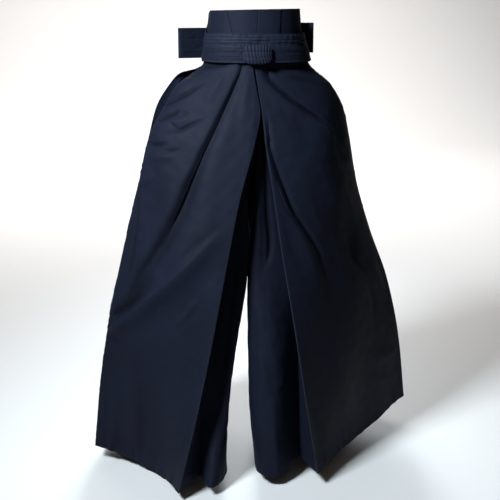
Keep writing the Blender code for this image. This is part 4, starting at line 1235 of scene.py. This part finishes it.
@dataclass(frozen=True)
class Knot:
    """A tied knot: a pillow with rounded corners, ribbed where the tie wraps over it.

    Attributes:
        name: The piece's name and its CAD node's.
        size: Width, depth and height.
        middle: X and Z of its middle.
        seat: Distance of its inner side from the waist line.
        facing: In front or behind.
        ribs: How many ribs run down it.
        depth: Depth of the grooves between them.
    """

    name: str
    size: tuple[float, float, float]
    middle: tuple[float, float]
    seat: float
    facing: Facing
    ribs: float
    depth: float = 0.0022

    def build(self) -> bpy.types.Object:
        """Build it: a superellipsoid bent to the waist, its outer side drawn in between ribs."""
        width, thick, height = self.size
        lat = np.radians(np.linspace(-90, 90, 82))[1:-1, None]
        lon = np.radians(np.arange(0, 360, 1.5))[None, :]
        soft = 0.66
        ring = np.abs(np.cos(lat)) ** soft
        across = ring * np.sign(np.cos(lon)) * np.abs(np.cos(lon)) ** soft
        out = ring * np.sign(np.sin(lon)) * np.abs(np.sin(lon)) ** soft
        up = np.broadcast_to(np.sign(np.sin(lat)) * np.abs(np.sin(lat)) ** soft, across.shape)
        lean = across + 0.06 * up + 0.04 * np.sin(2.6 * up + 1.0) + 0.10 * across ** 2
        groove = np.abs(np.cos(np.pi * self.ribs * lean / 2))
        uneven = 0.75 + 0.25 * np.sin(4.1 * across + 1.7 * up + 2.0)
        front = smoothstep(-0.1, 0.5, out)
        sink = self.depth * (1 - np.sqrt(groove)) * front * uneven
        band = 0.0008 * np.exp(-((up - 0.25) / 0.08) ** 2) + 0.0006 * np.exp(-((up + 0.3) / 0.06) ** 2)
        bulge = 0.62 + 0.38 * smoothstep(-1.05, -0.2, across) * smoothstep(-1.1, -0.4, -across)
        x = self.middle[0] + width / 2 * across * (1 - 0.06 * np.cos(np.pi * up) * front)
        z = self.middle[1] + height / 2 * (up + 0.03 * groove * np.sign(up) * front) * 0.96
        away = self.seat + thick / 2 + thick / 2 * np.where(out > 0, out * bulge, out) - sink - band * front
        rings = np.stack([x, waist_depth(x, z, away, self.facing), z], axis=2)
        mid_out = self.seat + thick / 2
        poles = []
        for end in (-1, 1):
            end_z = self.middle[1] + end * height / 2 * 0.96
            poles.append([self.middle[0], float(waist_depth(np.array(self.middle[0]), np.array(end_z),
                                                            np.array(mid_out), self.facing)), end_z])
        # Rib tops lighter: partly wear, partly a painted highlight.
        return closed_body(self.name, rings, np.array(poles), groove * front * 0.4)


def closed_body(name: str, rings: Array, poles: Array, wear_and_highlight: Array) -> bpy.types.Object:
    """Build a closed body from rings of points between two poles.

    Args:
        name: The object's name.
        rings: Rings from the lower pole to the upper, (rings, points, 3).
        poles: The lower and the upper pole.
        wear_and_highlight: How worn each ring point is and how strong its painted highlight.

    Returns:
        The object, its faces turned outward.
    """
    rows, columns = rings.shape[:2]
    spots = np.concatenate([rings.reshape(-1, 3), poles])
    r, c = np.meshgrid(np.arange(rows - 1), np.arange(columns), indexing="ij")
    a, b = (r * columns + c).ravel(), (r * columns + (c + 1) % columns).ravel()
    quads = np.stack([a, b, b + columns, a + columns], axis=1)
    ring = np.arange(columns)
    top = (rows - 1) * columns
    low = np.stack([np.full(columns, rows * columns), (ring + 1) % columns, ring], axis=1)
    high = np.stack([np.full(columns, rows * columns + 1), top + ring, top + (ring + 1) % columns], axis=1)
    centre = spots.mean(axis=0)
    face = spots[quads[len(quads) // 2]]
    if np.cross(face[1] - face[0], face[3] - face[0]) @ (face[0] - centre) < 0:
        quads, low, high = quads[:, ::-1], low[:, ::-1], high[:, ::-1]
    mesh = bpy.data.meshes.new(name)
    mesh.from_pydata(spots.tolist(), [], quads.tolist() + low.tolist() + high.tolist())
    around = np.pad(np.cumsum(np.linalg.norm(np.diff(rings, axis=1), axis=2), axis=1), ((0, 0), (1, 0)))
    flat = np.stack([np.append(around.ravel(), [0, 0]), spots[:, 2]], axis=1)
    corners = np.zeros(len(mesh.loops), np.int32)
    mesh.loops.foreach_get("vertex_index", corners)
    mesh.uv_layers.new(name="cloth").data.foreach_set("uv", flat[corners].astype(np.float32).ravel())
    blank = np.zeros(len(spots))
    marks = {"wear_and_highlight": np.append(wear_and_highlight.ravel(), [0, 0]), "sewn": blank + 0.01, "crease_shade": blank}
    for key, values in marks.items():
        mesh.attributes.new(key, "FLOAT", "POINT").data.foreach_set("value", values.astype(np.float32))
    mesh.shade_smooth()
    thing = bpy.data.objects.new(name, mesh)
    bpy.context.scene.collection.objects.link(thing)
    return thing


@dataclass(frozen=True)
class BowLoop:
    """A flat loop of the bow behind: a strip that goes out and folds back at a square end.

    Attributes:
        name: The piece's name and its CAD node's.
        side: Whose side it points to.
        middle: Height of its middle.
        line: Points from the knot to its end as distance out and back.
        width: Height of the strip.
        gap: Distance between its two layers, middle to middle.
    """

    name: str
    side: Side
    middle: float
    line: tuple[tuple[float, float], ...]
    width: float = 0.066
    gap: float = 0.0034

    def build(self) -> bpy.types.Object:
        """Build it: out along the line, round the end and back, with creases along its length."""
        path = spline(np.array(self.line), 12)
        way = unit(np.gradient(path, axis=0))
        beside = np.stack([-way[:, 1], way[:, 0]], axis=1)
        turn = np.linspace(0, np.pi, 9)[1:-1, None]
        end = path[-1] - beside[-1] * np.cos(turn) * self.gap / 2 + way[-1] * np.sin(turn) * 0.0017
        plan = np.concatenate([path - beside * self.gap / 2, end, (path + beside * self.gap / 2)[::-1]])
        up = np.linspace(0.5, -0.5, 34)[:, None]
        z = self.middle + up * self.width
        shape = (34, len(plan))
        points = np.stack([np.broadcast_to(plan[None, :, 0] * self.side.value, shape),
                           np.broadcast_to(plan[None, :, 1], shape), np.broadcast_to(z, shape)], axis=2)
        sheet = Sheet.measured(points)
        out = -self.side.value
        reach = np.concatenate([np.linspace(0, 1, len(path)), np.ones(7), np.linspace(1, 0, len(path))])
        reach = reach[None, :]
        crease = np.exp(-((up + 0.34 - 0.10 * reach) / 0.018) ** 2) * 0.0009
        crease = crease - np.exp(-((up - 0.10 - 0.05 * reach) / 0.03) ** 2) * 0.0006
        relief = crease + ripple(sheet.along, sheet.up, 0.016, 31) * 0.0003
        layer = np.concatenate([np.ones(len(path)), np.zeros(7), np.ones(len(path))])[None, :]
        sheet.sewn = np.minimum(sheet.up, self.width - sheet.up) - 0.0025
        # The folded end lighter: partly wear, partly a painted highlight.
        sheet.wear_and_highlight = 0.6 * np.exp(-((reach - 1) / 0.02) ** 2) * np.ones(shape)
        return sheet.lifted(relief * layer, surface_normals(points) * out).wall(self.name, TIE_THICK, out)


# The studio


@dataclass(frozen=True)
class Studio:
    """Camera, lights and the pale floor, which curves up behind.

    Attributes:
        distance: From the camera to the garment's middle line.
        azimuth: Degrees round from the front.
        pitch: Degrees that the camera looks down.
        swing: Degrees that it is turned aside for the picture's framing.
        lens: Focal length in millimetres on a sensor 36 mm wide.
        camera_z: Height of the camera.
    """

    distance: float = 2.2
    azimuth: float = -6.0
    pitch: float = 13.649
    swing: float = 0.2603
    lens: float = 71.31
    camera_z: float = 0.085

    def camera(self) -> None:
        """Place the camera where the picture was taken from."""
        data = bpy.data.cameras.new("camera")
        data.lens, data.sensor_width = self.lens, 36.0
        data.clip_start, data.clip_end = 0.05, 60.0
        camera = bpy.data.objects.new("camera", data)
        turn = math.radians(self.azimuth)
        camera.location = (self.distance * math.sin(turn), -self.distance * math.cos(turn), self.camera_z)
        camera.rotation_euler = (math.radians(90 - self.pitch), 0.0, math.radians(self.azimuth + self.swing))
        bpy.context.scene.collection.objects.link(camera)
        bpy.context.scene.camera = camera

    def floor(self) -> None:
        """Lay the floor: level, then a quarter circle up to a wall far behind."""
        ground = CAD_BOX[0].z - 0.012
        level = np.stack([np.linspace(-9.0, 5.0, 30), np.full(30, ground)], axis=1)
        turn = np.linspace(0, np.pi / 2, 17)[1:, None]
        bend = np.concatenate([5.0 + 2.0 * np.sin(turn), ground + 2.0 * (1 - np.cos(turn))], axis=1)
        wall = np.array([[7.0, ground + 5.0]])
        profile = np.concatenate([level, bend, wall])
        x = np.linspace(-9.0, 9.0, 19)[None, :]
        shape = (len(profile), 19)
        points = np.stack([np.broadcast_to(x, shape), np.broadcast_to(profile[:, :1], shape),
                           np.broadcast_to(profile[:, 1:], shape)], axis=2)
        r, c = np.meshgrid(np.arange(shape[0] - 1), np.arange(18), indexing="ij")
        a = (r * 19 + c).ravel()
        faces = np.stack([a, a + 1, a + 20, a + 19], axis=1)
        floor = mesh_object("floor", points.reshape(-1, 3), faces, points[..., :2].reshape(-1, 2), {})
        floor.data.materials.append(FloorFinish().material())

    def light(self, name: str, place: tuple[float, float, float], aim: tuple[float, float, float],
              size: float, watts: float, colour: tuple[float, float, float], spread: float = 180.0) -> None:
        """Hang one soft square light, whose beam is spread degrees wide."""
        data = bpy.data.lights.new(name, "AREA")
        data.spread = math.radians(spread)
        data.shape, data.size, data.energy, data.color = "SQUARE", size, watts, colour
        lamp = bpy.data.objects.new(name, data)
        way = np.array(aim) - np.array(place)
        lamp.location = place
        level = math.hypot(way[0], way[1])
        lamp.rotation_euler = (math.atan2(level, -way[2]), 0.0, math.atan2(-way[0], way[1]))
        bpy.context.scene.collection.objects.link(lamp)

    def lights(self) -> None:
        """Light it from the upper left, weakly from in front and behind, and the backdrop apart."""
        self.light("key", (-1.22, -1.20, 0.99), (0.0, 0.0, -0.12), 0.5, 28.5, (0.82, 0.93, 1.0), 88.0)
        self.light("fill", (-0.4, -3.2, 0.6), (0.0, 0.0, -0.4), 1.6, 0.9, (1.0, 0.82, 0.76))
        self.light("backdrop", (0.0, 3.8, 3.2), (0.0, 4.8, -1.0), 4.0, 225.0, (1.0, 0.99, 0.98), 130.0)
        self.light("rear", (0.3, 2.9, 0.1), (0.0, 0.1, -0.35), 1.0, 15.0, (0.86, 0.94, 1.0), 40.0)
        world = bpy.data.worlds.new("studio")
        world.use_nodes = True
        world.node_tree.nodes["Background"].inputs[0].default_value = (1.0, 0.90, 0.86, 1.0)
        world.node_tree.nodes["Background"].inputs[1].default_value = 0.05
        bpy.context.scene.world = world


# Putting it together


PANELS = (
    LegPanel("front_panel_right", Side.RIGHT, Facing.FRONT, Table(PANEL_COLUMNS, FRONT_RIGHT, ("round",)),
             (4, -22, -12, -3, -12, -10, 4), (Pleat(Table(PLEAT_COLUMNS, RIGHT_OUTER_PLEAT, ("closed",))),),
             FOLDS_FRONT_RIGHT, INNER_FOLDS_FRONT_RIGHT, (54, 38), seed=11),
    LegPanel("front_panel_left", Side.LEFT, Facing.FRONT, Table(PANEL_COLUMNS, FRONT_LEFT, ("round",)),
             (44, -2, -1, 6, -10, -10, 4),
             (Pleat(Table(PLEAT_COLUMNS, LEFT_OUTER_PLEAT, ("closed",)), outward=True),
              Pleat(Table(PLEAT_COLUMNS, LEFT_INNER_PLEAT, ("closed",)), 0.014, True)),
             FOLDS_FRONT_LEFT, INNER_FOLDS_FRONT_LEFT, (34, 26, 14), seed=17),
    LegPanel("back_panel_right", Side.RIGHT, Facing.BACK, Table(PANEL_COLUMNS, BACK_RIGHT, ("round",)),
             (4, 0, -4, 2, 2, 2, 4), folds=back_folds(Side.RIGHT), flats=(86,), rows=180,
             tail_columns=12, seed=23),
    LegPanel("back_panel_left", Side.LEFT, Facing.BACK, Table(PANEL_COLUMNS, BACK_LEFT, ("round",)),
             (44, 24, 0, 4, 4, 4, 4), folds=back_folds(Side.LEFT), flats=(86,), rows=180,
             tail_columns=12, seed=29),
)
START_PATH = ((0, 2, 52.5, 55, 0.6), (10, 12, 44, 55, 1.7), (20, 22, 34, 55, 1.7), (43, 45, 12, 55, 1.7),
              (62, 64, 6, 54, 1.7))
BACK_TIE_PATH = ((0, 60, 66, 34, 1.8), (10, 50, 62, 34, 2.0), (22, 38, 52, 34, 6.2), (38, 22, 36, 34, 6.2),
                 (52, 8, 12, 34, 6.4), (68, -8, -3, 34, 7.2), (84, -24, -6.5, 33, 7.6),
                 (120, -60, -7, 33, 7.6), (149.6, -89.6, -7, 33, 7.6))
BACK_TIE_CREASES = ((0.12, 0.6), (0.42, 0.5), (0.74, 0.7))
BAND_PATH = ((0, 60.4, 67, 34, 1.8), (59.2, 119.6, 67, 34, 1.8))
LOOP_START = ((0.0204, 0.101), (0.050, 0.098), (0.080, 0.089), (0.110, 0.0775))


@dataclass
class Hakama:
    """The whole garment.

    Attributes:
        cloth: The legs' finish.
        tie: The ties' finish.
    """

    cloth: ClothFinish = ClothFinish("navy_cloth")
    tie: ClothFinish = ClothFinish("navy_tie", crumple=0.00022)

    def dress(self, piece: bpy.types.Object, material: bpy.types.Material) -> bpy.types.Object:
        """Give a piece its material and its place on the frame, and report it."""
        node = piece.name.partition(".")[0]
        piece.name = f"{node}_cloth"
        piece.data.materials.append(material)
        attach(piece, "root")
        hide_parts(node)
        piece.data.calc_loop_triangles()
        log.info("%s: %d triangles", piece.name, len(piece.data.loop_triangles))
        return piece

    def declare(self, piece: bpy.types.Object) -> None:
        """Read the numbers of a piece's cloth map into an array, which is not used further.

        Args:
            piece: The cloth, whose map is read.
        """
        mesh = piece.data
        spread = np.empty(2 * len(mesh.loops), np.float32)
        mesh.uv_layers["cloth"].data.foreach_get("uv", spread)

    def legs(self) -> list[bpy.types.Object]:
        """Build the four panels and the gusset."""
        material = self.cloth.material()
        seams, pieces = {}, []
        for panel in PANELS:
            piece, seam = panel.build()
            seams[panel.name] = seam
            pieces.append(self.dress(piece, material))
        pieces.append(self.dress(Gusset(seams).build(), material))
        return pieces

    def ties(self) -> list[bpy.types.Object]:
        """Build the ties, the knot in front and the bow behind."""
        makers = [Wrap()]
        for side, mirrored in (("left", False), ("right", True)):
            makers.append(TieStrip(f"front_tie_{side}_start", START_PATH, mirrored, columns=70, seed=5))
            makers.append(TieStrip(f"back_tie_{side}", BACK_TIE_PATH, mirrored, BACK_TIE_CREASES, seed=7))
        makers.append(TieStrip("back_tie_band", BAND_PATH, columns=60, seed=8))
        makers.append(Knot("front_knot", (0.062, 0.0125, 0.042), (-0.004, -0.006), 0.0086,
                           Facing.FRONT, 9.0))
        makers.append(Knot("bow_knot", (0.040, 0.018, 0.046), (0.0, 0.012), 0.0048, Facing.BACK, 6.0))
        makers.append(BowLoop("bow_loop_right", Side.RIGHT, 0.0125, LOOP_START + ((0.162, 0.059),)))
        makers.append(BowLoop("bow_loop_left", Side.LEFT, 0.0235, LOOP_START + ((0.138, 0.067),)))
        material = self.tie.material()
        return [self.dress(maker.build(), material) for maker in makers]

    def build(self) -> None:
        """Build every piece and read the cloth map of each but the two knots."""
        for piece in self.legs():
            self.declare(piece)
        ties = {piece.name: piece for piece in self.ties()}
        joined = {"front_tie_wrap_cloth": [ties.pop("front_knot_cloth")],
                  "bow_loop_left_cloth": [ties.pop("bow_knot_cloth")]}
        for name, piece in ties.items():
            self.declare(piece)


def main() -> None:
    """Build the garment and its studio."""
    logging.basicConfig(level=logging.INFO, format="%(message)s")
    Hakama().build()
    studio = Studio()
    studio.camera()
    studio.floor()
    studio.lights()
    bpy.context.scene.view_settings.view_transform = "Standard"
    log.info("sizes written")


if __name__ == "__main__":
    main()
